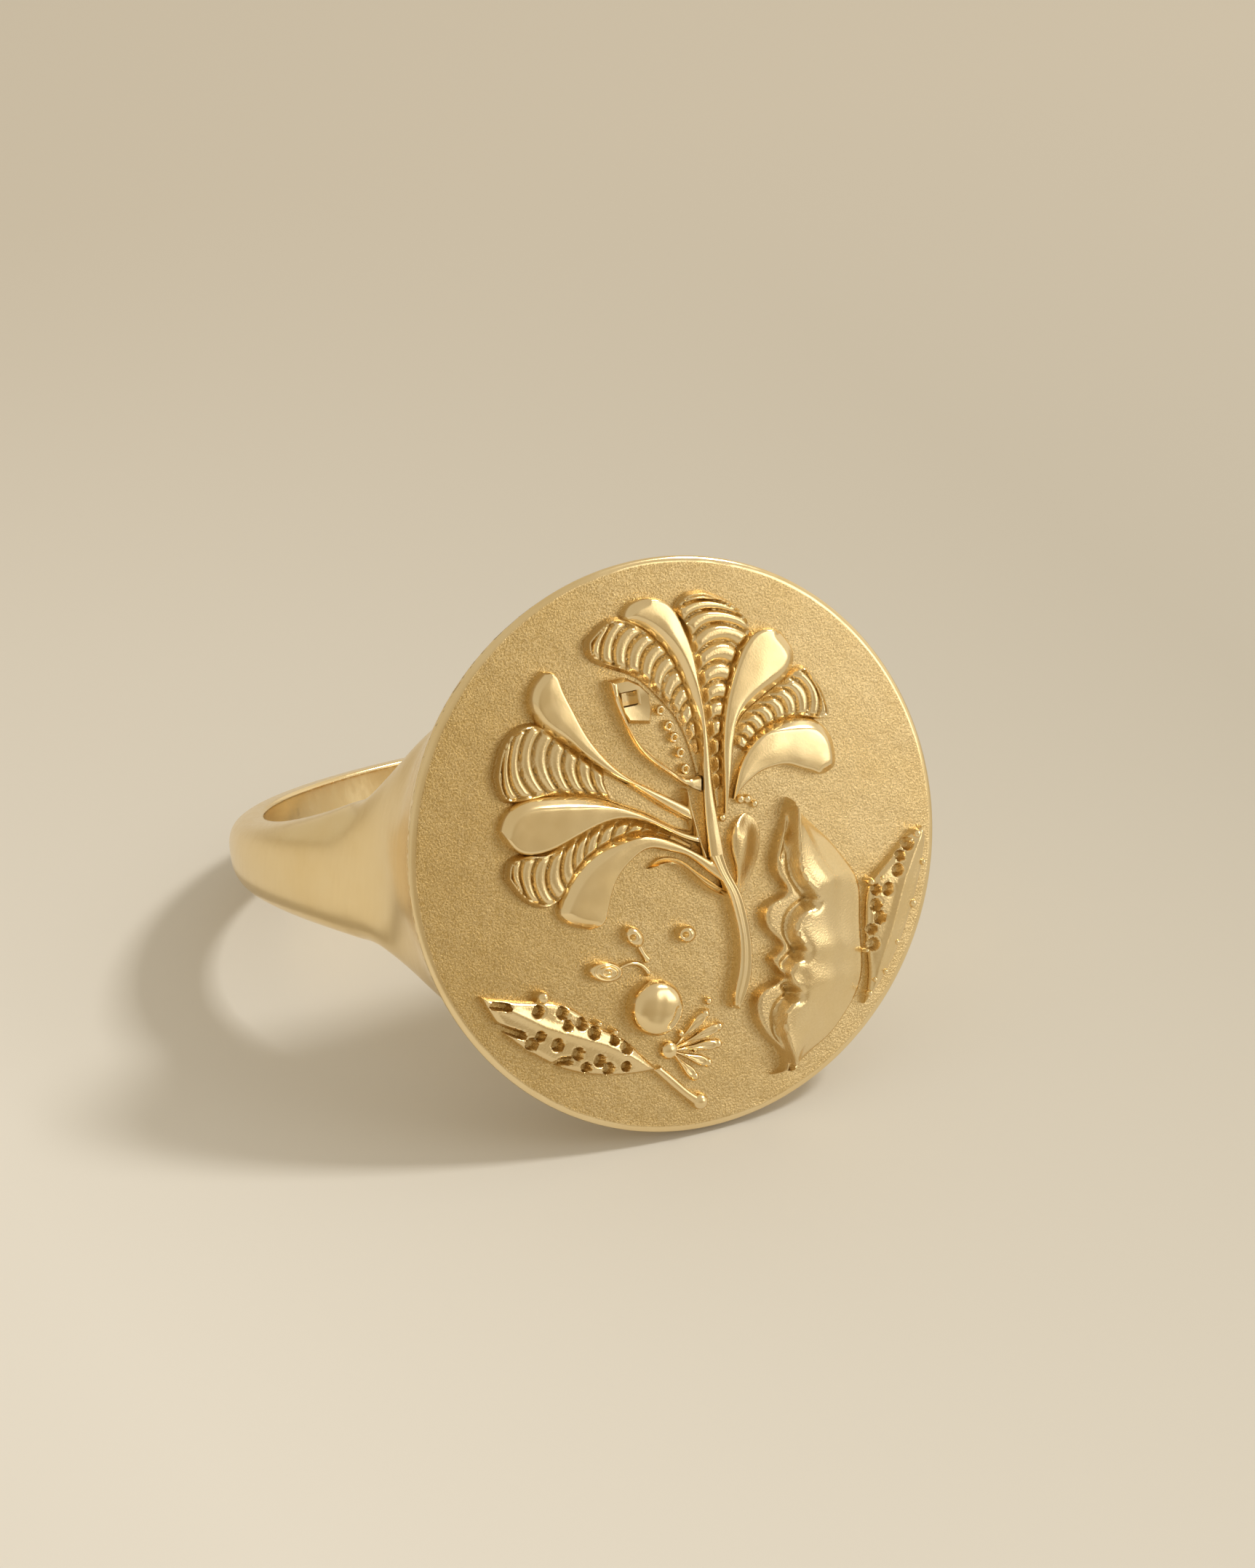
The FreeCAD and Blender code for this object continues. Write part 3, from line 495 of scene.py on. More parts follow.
def make_mesh(name, points, faces, shine, sharp_angle):
    """A closed mesh with smooth shading and a polish value at each point."""
    mesh = bpy.data.meshes.new(name)
    mesh.from_pydata([tuple(p) for p in points], [], faces)
    attribute = mesh.attributes.new("polish", "FLOAT", "POINT")
    attribute.data.foreach_set("value", np.asarray(shine, np.float32))
    work = bmesh.new()
    work.from_mesh(mesh)
    bmesh.ops.remove_doubles(work, verts=work.verts, dist=1e-7)
    bmesh.ops.dissolve_degenerate(work, edges=work.edges, dist=1e-8)
    bmesh.ops.recalc_face_normals(work, faces=work.faces)
    work.to_mesh(mesh)
    work.free()
    mesh.shade_smooth()
    mesh.set_sharp_from_angle(angle=math.radians(sharp_angle))
    return mesh


def add_piece(name, body, nodes, material, to_world=face_to_world, sharp_angle=60):
    """A piece made from a body, standing for CAD nodes and wearing a material."""
    points, faces, shine = body
    mesh = make_mesh(name, to_world(points), faces, shine, sharp_angle)
    mesh.materials.append(material)
    piece = bpy.data.objects.new(name, mesh)
    bpy.context.scene.collection.objects.link(piece)
    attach(piece, "root")
    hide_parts(*nodes)


# ---- Materials ----
def node(tree, kind, **settings):
    """A shader node with its settings: names of inputs, or of the node's own properties."""
    made = tree.nodes.new("ShaderNode" + kind)
    for key, value in settings.items():
        if hasattr(made, key):
            setattr(made, key, value)
        else:
            made.inputs[key.replace("_", " ")].default_value = value
    return made


def noise_value(tree, place, size, detail=2.0, stretch=(1, 1, 1)):
    """Noise between 0 and 1 whose grains are about the given size in millimetres."""
    scaled = node(tree, "Mapping")
    scaled.inputs["Scale"].default_value = stretch
    tree.links.new(place, scaled.inputs["Vector"])
    grains = node(tree, "TexNoise", Scale=1 / (size * MM), Detail=detail, Roughness=0.6)
    tree.links.new(scaled.outputs["Vector"], grains.inputs["Vector"])
    return grains.outputs["Fac"]


def mapped(tree, value, from_low, from_high, to_low, to_high):
    """A value mapped from one range to another and kept inside it."""
    ranged = node(tree, "MapRange")
    for socket, number in zip(("From Min", "From Max", "To Min", "To Max"),
                              (from_low, from_high, to_low, to_high)):
        ranged.inputs[socket].default_value = number
    tree.links.new(value, ranged.inputs["Value"])
    return ranged.outputs["Result"]


def feed(tree, value, socket):
    """Gives an input another socket's value, or a plain one."""
    if isinstance(value, bpy.types.NodeSocket):
        tree.links.new(value, socket)
    else:
        socket.default_value = value


def mixed(tree, kind, factor, first, second):
    """A mix of two sockets or plain values by a factor socket."""
    mix = node(tree, "Mix", data_type=kind)
    ends = [s for s in mix.inputs if s.enabled and s.name in ("A", "B")]
    for end, value in zip(ends, (first, second)):
        feed(tree, value, end)
    tree.links.new(factor, [s for s in mix.inputs if s.enabled and s.name == "Factor"][0])
    return [s for s in mix.outputs if s.enabled][0]


def new_material(name):
    """An empty metal material, its node tree, its shader and its place in the object."""
    material = bpy.data.materials.new(name)
    material.use_nodes = True
    tree = material.node_tree
    tree.nodes.clear()
    shader = node(tree, "BsdfPrincipled", Metallic=1.0)
    output = node(tree, "OutputMaterial")
    tree.links.new(shader.outputs["BSDF"], output.inputs["Surface"])
    place = node(tree, "TexCoord").outputs["Object"]
    return material, tree, shader, place


def bumped(tree, shader, height, distance, strength):
    """Gives the shader a fine relief from a height socket, deep in millimetres."""
    bump = node(tree, "Bump", Distance=distance * MM)
    feed(tree, strength, bump.inputs["Strength"])
    tree.links.new(height, bump.inputs["Height"])
    tree.links.new(bump.outputs["Normal"], shader.inputs["Normal"])


PALE_GOLD = (0.90, 0.74, 0.455, 1)
WARM_GOLD = (0.86, 0.68, 0.38, 1)
# painted shade: this dark gold, mixed into the sandblasted grain and towards the ground's left,
# stands for shade and gold reflected in gold
SHADED_GOLD = (0.46, 0.31, 0.11, 1)
SANDBLAST_GRAIN = 0.06
SANDBLAST_DEPTH = 0.03
SANDBLAST_BUMP = 0.8        # strength of the relief where the gold is sandblasted
POLISHED_BUMP = 0.03        # and where it is polished
LINE_SPACING = 0.16         # of the faint lines on the band
LINE_DEPTH = 0.006
# painted shade: the sandblasted ground is painted darker towards the left, where it reflects darker
# surroundings
LEFT_SHADE_SPAN = (-0.007, 0.006)       # across the ring, from left to right
LEFT_SHADE_SHARES = (0.66, 0.14)        # of deep gold at the two ends of the span


def frosted_to_polished_gold(name, polished_roughness):
    """Gold that is sandblasted where the polish value is 0 and bright where it is 1.

    The sandblasted gold is painted with shade that is strongest on the left, and its dark grain,
    painted shade in its pits, is clearer there.
    """
    material, tree, shader, place = new_material(name)
    polish = node(tree, "Attribute", attribute_name="polish").outputs["Fac"]
    speckle = noise_value(tree, place, SANDBLAST_GRAIN, 3.0)
    clouds = noise_value(tree, place, 2.2, 3.0)
    tarnish = mapped(tree, clouds, 0.35, 0.7, 0.0, 1.0)
    bright = mixed(tree, "RGBA", tarnish, PALE_GOLD, WARM_GOLD)
    across = node(tree, "SeparateXYZ")
    tree.links.new(place, across.inputs["Vector"])
    # painted shade: deep gold mixed in more towards the left
    left_shade = mapped(tree, across.outputs["X"], *LEFT_SHADE_SPAN, *LEFT_SHADE_SHARES)
    left_shaded = mixed(tree, "RGBA", left_shade, bright, SHADED_GOLD)
    clear = mapped(tree, speckle, 0.40, 0.58, 1.0, 0.0)
    faint = mapped(tree, speckle, 0.36, 0.60, 0.35, 0.05)
    grain = mixed(tree, "FLOAT", left_shade, faint, clear)
    # the grain's dark specks are painted shade: the shade and gold-on-gold reflection in the
    # sandblast's pits
    grainy = mixed(tree, "RGBA", grain, left_shaded, SHADED_GOLD)
    colour = mixed(tree, "RGBA", polish, grainy, bright)
    tree.links.new(colour, shader.inputs["Base Color"])
    smears = mapped(tree, noise_value(tree, place, 0.9, 4.0), 0.3, 0.7,
                    polished_roughness * 0.75, polished_roughness * 1.35)
    rough = mapped(tree, speckle, 0.3, 0.7, 0.32, 0.20)
    tree.links.new(mixed(tree, "FLOAT", polish, rough, smears), shader.inputs["Roughness"])
    strength = mapped(tree, polish, 0.0, 1.0, SANDBLAST_BUMP, POLISHED_BUMP)
    bumped(tree, shader, speckle, SANDBLAST_DEPTH, strength)
    return material


def satin_gold():
    """The band's gold: a soft satin polish with faint lines, roughly along the finger."""
    material, tree, shader, place = new_material("satin_gold")
    clouds = noise_value(tree, place, 2.5, 3.0)
    colour = mixed(tree, "RGBA", mapped(tree, clouds, 0.3, 0.7, 0.0, 1.0), PALE_GOLD, WARM_GOLD)
    tree.links.new(colour, shader.inputs["Base Color"])
    lines = noise_value(tree, place, LINE_SPACING, stretch=(1, 1, 0.06))
    tree.links.new(mapped(tree, lines, 0.3, 0.7, 0.17, 0.27), shader.inputs["Roughness"])
    bumped(tree, shader, lines, LINE_DEPTH, 0.35)
    return material


# ---- Ornaments ----
PETAL_HEIGHT = 0.5
FAN_SLAB_HEIGHT = 0.18
FAN_RIDGE_HEIGHT = 0.34
STEM_HEIGHT = 0.5
SEPAL_HEIGHT = 0.4
BUD_HEIGHT = 0.45
LEAF_HEIGHT = 0.75
LEAF_MARGIN_HEIGHT = 0.46
FERN_HEIGHT = 0.4
STALK_HEIGHT = 0.32
STALK_KNOB_HEIGHT = 0.42
SPRIG_HEIGHT = 0.3


def pillow(strip, height, reach, crown=0.0, wall=0.4):
    """A flat top with upright walls, a round shoulder and a slight crown."""
    shoulder = wall + (1 - wall) * round_over(strip.d, reach)
    swell = crown * (1 - (1 - np.clip(strip.d / 0.7, 0, 1)) ** 2)
    return (height - crown) * shoulder + swell


def level_strip(edges, along, across, height, reach, open_root=False):
    """A polished strip with a level top and a round shoulder."""
    strip = Strip(edges, along, across, open_root)
    return raised(strip, pillow(strip, height, reach))


def petal(name):
    """A polished petal: a smooth drop shape with a soft shoulder, and a facet along one edge."""
    strip = Strip(PETALS[name], 96, 36, open_root=True)
    height = pillow(strip, PETAL_HEIGHT, 0.10, crown=0.02, wall=0.6)
    side, facet_width = PETAL_FACETS[name]
    edge = strip.d_second if side == "second" else strip.d_first
    reach = facet_width * ease(strip.s, 0.25, 0.6) + 1e-6
    height -= FACET_DEPTH * (1 - ease(edge / reach, 0.0, 1.0)) * np.minimum(1, reach / 0.1)
    height += 0.004 * waver(strip.x, strip.y, 2.4) * np.clip(strip.d / 0.3, 0, 1)
    bodies = []
    if name == "petal_upper_left":
        bodies.append(level_strip(UPPER_LEFT_STALK, 30, 16, PETAL_HEIGHT - 0.06, 0.12, True))
    return joined(bodies + [raised(strip, height)])


def fan(ridges, begin, edges):
    """A thin fan with curved ridges across it and a plain outer lip."""
    strip = Strip(edges, 30 + 14 * ridges, 34)
    bulge = 0.22 * 4 * strip.t * (1 - strip.t) * strip.width / strip.length
    phase = (strip.s - bulge - begin) / (1 - begin) * (ridges + 0.4)
    ridge = 1 - np.abs(2 * (phase % 1) - 1) ** 3.5
    ridge *= ease(phase, -0.1, 0.3)
    lip = bell(strip.d, 0.10, 0.06) * ease(strip.s, 0.6, 0.8)
    crest = np.maximum(ridge * ease(strip.d, 0.02, 0.22), lip)
    trough = FAN_SLAB_HEIGHT * 0.6
    height = trough + (FAN_RIDGE_HEIGHT - trough) * crest
    height = height * (0.4 + 0.6 * round_over(strip.d, 0.1))
    return raised(strip, height, polish=0.15 + 0.7 * crest)


def flower_stem():
    """The stem under the flower, with a shallow channel, and the thin wall beside the column."""
    stem = Strip(FLOWER_STEM, 90, 22, open_root=True)
    height = pillow(stem, STEM_HEIGHT, 0.14) - 0.05 * bell(stem.t, 0.6, 0.16)
    return joined([raised(stem, height), level_strip(COLUMN_WALL, 40, 12, STEM_HEIGHT, 0.08)])


def hood_loops():
    """Loops of the hood from its foot, over its bevelled top, and down into the square eye."""
    outer = np.array(SEED_BUD_HOOD)
    eye = np.array(SEED_BUD_EYE)
    middle = eye.mean(0)
    loops = []
    for loop, inset, height in ((outer, 0.0, FOOT), (outer, 0.0, 0.26), (outer, 0.16, BUD_HEIGHT),
                                (eye, -0.22, BUD_HEIGHT - 0.05), (eye, 0.0, BUD_HEIGHT - 0.12),
                                (eye, 0.0, 0.0)):
        flat = middle + (loop - middle) * (1 - inset)
        loops.append(np.column_stack([flat, np.full(len(flat), height)]))
    return loops


def seed_bud():
    """The pointed bud: its curved frame, and the faceted hood with its square eye."""
    points, faces = lofted(hood_loops())
    return joined([level_strip(SEED_BUD_FRAME, 80, 14, BUD_HEIGHT, 0.10, True),
                   (points, faces, np.ones(len(points)))])


def knob(x, y, radius, rise=None, dimple=0.0):
    """A round grain of metal, with a dimple in its top if it has one."""
    disc = Disc((x, y), radius, radius, rings=12, spokes=28)
    rise = radius if rise is None else rise
    height = rise * (0.35 + 0.65 * np.sqrt(1 - disc.share ** 2))
    height -= dimple * bell(disc.share, 0, 0.4)
    return raised(disc, height)


def bead_row():
    """A row of pierced beads along the seed bud."""
    return joined([knob(x, y, BEAD_RADIUS, 0.34, dimple=0.26) for x, y in BEADS])


def left_sepal():
    """A curled sepal: a channel between two thin lips."""
    strip = Strip(LEFT_SEPAL, 60, 20)
    lips = bell(strip.t, 0.2, 0.2) + 0.6 * bell(strip.t, 0.92, 0.1)
    height = SEPAL_HEIGHT * (0.2 + 0.8 * np.clip(lips, 0, 1)) * round_over(strip.d, 0.05)
    return raised(strip, height)


def right_calyx():
    """The broad sepal on the other side, which falls away to the right."""
    strip = Strip(RIGHT_CALYX, 60, 36)
    height = pillow(strip, SEPAL_HEIGHT, 0.14, crown=0.05)
    fall = 1 - ease(strip.d_second, 0.0, 0.8)
    return raised(strip, height * (1 - 0.9 * fall), polish=0.5)


def calyx_grains():
    """Four round grains where the sepals spread."""
    return joined([knob(x, y, r, 2 * r) for x, y, r in CALYX_GRAINS])


def acanthus_leaf():
    """The tall leaf: a curled wavy margin, an inner fold, and a ribbed belly."""
    strip = Strip(ACANTHUS_LEAF, 220, 72)
    x, y = strip.x, strip.y
    fold = curve_through(ACANTHUS_FOLD)(np.linspace(0, 1, 120))
    fold_x = np.interp(y, fold[:, 1], fold[:, 0])
    away = distance_to(fold, x, y) * np.sign(x - fold_x)
    margin_roll = LEAF_MARGIN_HEIGHT * (0.35 + 0.65 * round_over(strip.d_first, 0.2))
    valley = 0.16 * bell(away, -0.13, 0.10) * ease(strip.d_first, 0.08, 0.25)
    belly = (LEAF_HEIGHT - LEAF_MARGIN_HEIGHT) * ease(away, -0.05, 0.16)
    fold_lip = 0.05 * bell(away, 0.10, 0.07)
    ribs = 0.010 * np.sin(strip.t * 24) * ease(away, 0.1, 0.5)
    slope = 0.55 * ease(strip.t, 0.40, 1.05)
    height = margin_roll - valley + belly + fold_lip + ribs - slope * ease(strip.d_first, 0, 0.5)
    for pocket in ACANTHUS_POCKETS:
        height -= 0.34 * spot(x, y, pocket, 0.17)
    height -= 0.12 * line(x, y, ACANTHUS_TIP_GROOVE, 0.08)
    height *= 0.25 + 0.75 * round_over(strip.d, 0.12)
    satin = 0.35 + 0.4 * ease(away, -0.05, 0.3)
    return raised(strip, np.maximum(height, 0.03), polish=satin)


def pitted_fern(edges, dimples, slots, knobs, midrib):
    """A fern leaf with pits sunk in its top, slots in its margin and round knobs on it."""
    strip = Strip(edges, 170, 60)
    x, y = strip.x, strip.y
    height = pillow(strip, FERN_HEIGHT, 0.18, crown=0.04)
    height += 0.05 * line(x, y, midrib, 0.14) * ease(strip.d, 0, 0.3)
    pits = np.zeros_like(x)
    for i, centre in enumerate(dimples):
        radius = PIT_RADIUS * (1.0 - 0.18 * (i % 3 == 1))
        gap = np.hypot(x - centre[0], y - centre[1]) / radius
        pits = np.maximum(pits, 1 - ease(gap, 0.62, 1.0))
    for path in slots:
        pits = np.maximum(pits, ease(line(x, y, path, 0.12), 0.25, 0.75))
    height = height * (1 - 0.92 * pits)
    bodies = [raised(strip, height, polish=0.8 * (1 - pits))]
    for kx, ky, radius in knobs:
        bodies.append(knob(kx, ky, radius, FERN_HEIGHT + radius * 0.45))
    return joined(bodies)


def left_fern_leaf():
    """The fern leaf at the lower left."""
    midrib = [(-6.60, -3.25), (-5.10, -4.35), (-3.30, -5.25), (-1.85, -6.25)]
    return pitted_fern(LEFT_FERN, LEFT_FERN_DIMPLES, LEFT_FERN_SLOTS, LEFT_FERN_KNOBS, midrib)


def right_fern_leaf():
    """The fern leaf at the right edge of the face."""
    midrib = [(7.80, -1.15), (7.05, -2.40), (6.30, -4.00), (5.10, -5.90)]
    return pitted_fern(RIGHT_FERN, RIGHT_FERN_DIMPLES, [], RIGHT_FERN_KNOBS, midrib)


def fern_stalk():
    """The stalk that the left fern grows from, with a knob at its end."""
    return joined([level_strip(FERN_STALK, 40, 16, STALK_HEIGHT, 0.10),
                   knob(*STALK_KNOB, STALK_KNOB_HEIGHT)])


def berry():
    """The round berry, with a flat crown and a crease at its lower right."""
    disc = Disc(BERRY_CENTRE, BERRY_RADIUS, BERRY_RADIUS, rings=40, spokes=96)
    dome = np.sqrt(1 - disc.share ** 5)
    height = 0.22 + 0.46 * dome + 0.05 * (1 - disc.share ** 2) + 0.008 * waver(disc.x, disc.y, 1.1)
    height -= 0.16 * line(disc.x, disc.y, BERRY_CREASE, 0.09) * (1 - disc.share ** 6)
    return raised(disc, height)


def bud(name):
    """An oval bud: the left one has two round grooves, and the others a small pit."""
    centre, half_length, half_width, turn = BUDS[name]
    disc = Disc(centre, half_length, half_width, turn, rings=30, spokes=56)
    height = 0.16 + (half_width + 0.06) * np.sqrt(1 - disc.share ** 2.4)
    if name == "bud_left":
        height -= 0.07 * bell(disc.share, 0.62, 0.10)
        height -= 0.06 * bell(disc.share, 0.22, 0.10)
    else:
        height -= 0.22 * spot(disc.x, disc.y, (centre[0] - 0.10, centre[1] + 0.02), 0.08)
    bodies = [raised(disc, height)]
    if name == "bud_middle":
        bodies += [level_strip(edges, 24, 12, 0.24, 0.08, True) for edges in BUD_STALKS]
    return joined(bodies)


def leaflet(tip):
    """A slender leaflet from the sprig's root, ending in a round drop."""
    root = np.array(SPRIG_ROOT)
    end = np.array(tip)
    along = (end - root) / np.linalg.norm(end - root)
    aside = np.array([-along[1], along[0]])
    sides = []
    for side in (1, -1):
        sides.append([root + along * 0.10 + aside * side * 0.05,
                      root + (end - root) * 0.45 + aside * side * 0.09,
                      root + (end - root) * 0.82 + aside * side * SPRIG_HALF_WIDTH, end])
    strip = Strip(sides, 40, 16, open_root=True)
    groove = 0.08 * bell(strip.t, 0.5, 0.14) * ease(strip.s, 0.15, 0.3)
    groove *= 1 - ease(strip.s, 0.6, 0.8)
    body = raised(strip, pillow(strip, SPRIG_HEIGHT, 0.10) - groove)
    drop = root + (end - root) * 0.88
    return joined([body, knob(drop[0], drop[1], 0.15, SPRIG_HEIGHT + 0.05)])


def sprig():
    """Leaflets that spread from one round root, with grains between them."""
    bodies = [knob(*SPRIG_ROOT, 0.28, SPRIG_HEIGHT + 0.02)]
    bodies += [leaflet(tip) for tip in SPRIG_TIPS]
    bodies += [knob(x, y, r, 2.2 * r) for x, y, r in SPRIG_GRAINS]
    return joined(bodies)


# ---- Face plate ----
RIM_WIDTH = 0.20
RIM_DROP = 0.12             # how far the polished rim rounds off
EDGE_TAPER = 0.25           # how much smaller the plate's radius is at its back


def plate_profile():
    """Radius, height and polish along the plate's section, from its centre out and back."""
    inner = FACE_RADIUS - RIM_WIDTH
    profile = [(r, 0.0, 0.0) for r in np.linspace(0.001, inner, 86)]
    for turn in np.linspace(0, math.pi / 2, 9)[1:]:
        profile.append((inner + RIM_WIDTH * math.sin(turn), RIM_DROP * (math.cos(turn) - 1), 1.0))
    for share in np.linspace(0.2, 1, 5):
        profile.append((FACE_RADIUS - EDGE_TAPER * share,
                        -RIM_DROP - (PLATE_THICKNESS - RIM_DROP) * share, 1.0))
    profile.append((FACE_RADIUS * 0.5, -PLATE_THICKNESS, 1.0))
    profile.append((0.001, -PLATE_THICKNESS, 1.0))
    return profile


def face_plate():
    """The round plate: a sandblasted ground inside a narrow polished rim."""
    profile = plate_profile()
    spokes = 400
    angle = np.linspace(0, 2 * math.pi, spokes, endpoint=False)
    loops = []
    for radius, height, polish in profile:
        x, y = radius * np.cos(angle), radius * np.sin(angle)
        uneven = 0.010 * waver(x, y, 2.6) + 0.005 * waver(y, x, 0.9) if polish == 0 else 0.0
        loops.append(np.column_stack([x, y, height + uneven + 0 * x]))
    points, faces = lofted(loops)
    return points, faces, np.repeat([polish for _, _, polish in profile], spokes)


# ---- Ring body ----
def plan_point(radius, angle):
    """The point at an angle on a circle round the finger hole's axis, in plan."""
    turn = math.radians(angle)
    return radius * np.array([math.sin(turn), -math.cos(turn)])


def head_size(depth):
    """The head's half width, half height and squareness at a depth behind the face."""
    table = np.array(HEAD_SECTIONS)
    return smooth_through(table[:, 0], table[:, 1:])(np.clip(depth, table[0, 0], table[-1, 0]))


def head_half_height(x, depth):
    """Half the head's height along the finger, at a place in plan."""
    across, height, squareness = head_size(depth.ravel()).T
    share = np.clip(np.abs(x.ravel()) / across, 0, 1)
    return (height * (1 - share ** squareness) ** (1 / squareness)).reshape(x.shape)


def softened(path, reach):
    """A plane path that runs out and back across a mirror line, with its corners rounded."""
    step = 0.02
    whole = length_along(path)[-1]
    even = points_along(path, np.linspace(0, whole, max(int(whole / step), 30)))
    pad = int(3 * reach / step)
    mirror = np.array([1, -1])
    long = np.concatenate([even[pad:0:-1] * mirror, even, even[-2:-pad - 2:-1] * mirror])
    weight = np.exp(-(np.arange(-pad, pad + 1) * step / reach) ** 2)
    weight /= weight.sum()
    return np.column_stack([np.convolve(long[:, k], weight, "valid") for k in (0, 1)])


def sampled(path, rim_at):
    """Points on a half section, spaced so that the hole's edge keeps its place in every one."""
    near = min(0.3, rim_at * 0.45)
    at = np.concatenate([np.linspace(0, rim_at - near, 7)[:-1],
                         np.linspace(rim_at - near, rim_at + near, 11)[:-1],
                         np.linspace(rim_at + near, length_along(path)[-1], 46)])
    return points_along(path, at)


def half_section(bore_angle, outer, to_shank):
    """Half of the body's section in the plane through the hole's wall and the outer point."""
    inner = plan_point(BORE_RADIUS, bore_angle)
    reach = np.linalg.norm(outer - inner)
    halves = []
    if to_shank < 1:
        share = np.sin(np.linspace(0, math.pi / 2, 200))
        plan = inner + share[:, None] * (outer - inner)
        height = head_half_height(plan[:, 0], plan[:, 1] + FACE_HEIGHT)
        path = np.concatenate([[(0, 0)], np.column_stack([share * reach, height]), [(reach, 0)]])
        halves.append((1 - to_shank, sampled(softened(path, CORNER_REACH), height[0])))
    if to_shank > 0:
        half_width = float(steady_through(SHANK_HALF_WIDTHS)(bore_angle)[0, 0])
        turn = np.linspace(0, math.pi / 2, 200)
        power = 2 / SHANK_SQUARENESS
        dome = np.column_stack([reach * np.sin(turn) ** power, half_width * np.cos(turn) ** power])
        path = np.concatenate([[(0, 0)], dome])
        halves.append((to_shank, sampled(softened(path, CORNER_REACH), half_width)))
    section = sum(weight * points for weight, points in halves)
    along = (outer - inner) / reach
    return np.column_stack([inner + section[:, :1] * along, section[:, 1]])


def stations():
    """Places round the ring: angle of the hole's wall, outer point, and share of the shank."""
    plate_depth, edge = HEAD_SECTIONS[0][:2]
    places = []
    for share in np.linspace(0, 1, 26):
        x = edge * math.sin(share * math.pi / 2) ** 0.9
        places.append((PLATE_EDGE_ANGLE * x / edge, (x, plate_depth - FACE_HEIGHT), 0.0))
    for share in np.linspace(0, 1, 42)[1:]:
        depth = plate_depth + (HANDOVER_DEPTH - plate_depth) * share
        angle = PLATE_EDGE_ANGLE + (HANDOVER_ANGLE - PLATE_EDGE_ANGLE) * share
        places.append((angle, (float(head_size(depth)[0, 0]), depth - FACE_HEIGHT), 0.0))
    start = np.array(places[-1][1])
    end = plan_point(CROWN_RADIUS, SHANK_ANGLE)
    step = 0.1
    before = float(head_size(HANDOVER_DEPTH - step)[0, 0])
    leave = np.array([(start[0] - before) / step, 1.0])
    arrive = plan_point(1.0, SHANK_ANGLE + 90)
    for share in np.linspace(0, 1, 18)[1:]:
        rise = float(ease(share, 0, 1))
        point = (start * (1 - rise) + end * rise
                 + HANDOVER_PULL * ((share ** 3 - 2 * share ** 2 + share) * leave
                                    + (share ** 3 - share ** 2) * arrive))
        places.append((HANDOVER_ANGLE + (SHANK_ANGLE - HANDOVER_ANGLE) * share, point, rise))
    for angle in np.linspace(SHANK_ANGLE, 180, 70)[1:]:
        places.append((angle, plan_point(CROWN_RADIUS, angle), 1.0))
    return places


def ring_body():
    """The head and the band in one skin, swept round the finger hole."""
    loops = []
    for angle, outer, to_shank in stations():
        half = half_section(angle, np.array(outer), to_shank)
        other = half[-2:0:-1] * np.array([1, 1, -1])
        loops.append(np.concatenate([half, other]))
    mirrored = [loop * np.array([-1, 1, 1]) for loop in loops[-2:0:-1]]
    every = np.array(loops + mirrored)
    rows, columns = every.shape[:2]
    faces = grid_faces(rows, columns, wrap=True)
    last = (rows - 1) * columns
    for j in range(columns):
        k = (j + 1) % columns
        faces.append((last + j, last + k, k, j))
    points = every.reshape(-1, 3)
    return points, faces, np.ones(len(points))


# ---- Stage ----
CAMERA_AZIMUTH = -27.23
CAMERA_ELEVATION = 29.42
CAMERA_ROLL = 1.88
CAMERA_DISTANCE = 150.0     # from the lens to the plane of the face's centre
FACE_OFF_AXIS = (1.48, -1.80)   # where the lens sees the face's centre beside its own axis
LENS = 117.6

# painted light and shade on the floor: brightest at the front left, darker to the right and the back
FLOOR_LIT_LEFT = (0.80, 0.785, 0.76, 1)
FLOOR_SHADED_RIGHT = (0.55, 0.525, 0.475, 1)
FLOOR_SHADED_BACK = (0.60, 0.56, 0.495, 1)

SURROUND_LEFT = (0.64, 0.57, 0.45, 1)
SURROUND_RIGHT = (0.92, 0.83, 0.67, 1)
SURROUND_AHEAD = (0.46, 0.37, 0.235, 1)
SURROUND_OVERHEAD = (0.62, 0.54, 0.41, 1)


def add_camera():
    """The camera at its viewing angle, looking a little past the face's centre."""
    azimuth, elevation = math.radians(CAMERA_AZIMUTH), math.radians(CAMERA_ELEVATION)
    back = Vector((math.sin(azimuth) * math.cos(elevation),
                   -math.cos(azimuth) * math.cos(elevation), math.sin(elevation)))
    turn = (-back).to_track_quat("-Z", "Y").to_matrix()
    turn = turn @ Matrix.Rotation(math.radians(CAMERA_ROLL), 3, "Z")
    face_centre = CENTRE + OUT * FACE_HEIGHT * MM
    seen = Vector((FACE_OFF_AXIS[0], FACE_OFF_AXIS[1], -CAMERA_DISTANCE)) * MM
    camera = bpy.data.objects.new("camera", bpy.data.cameras.new("camera"))
    camera.matrix_world = Matrix.Translation(face_centre - turn @ seen) @ turn.to_4x4()
    camera.data.lens = LENS
    camera.data.clip_start = 0.01
    camera.data.clip_end = 20.0
    bpy.context.scene.collection.objects.link(camera)
    bpy.context.scene.camera = camera


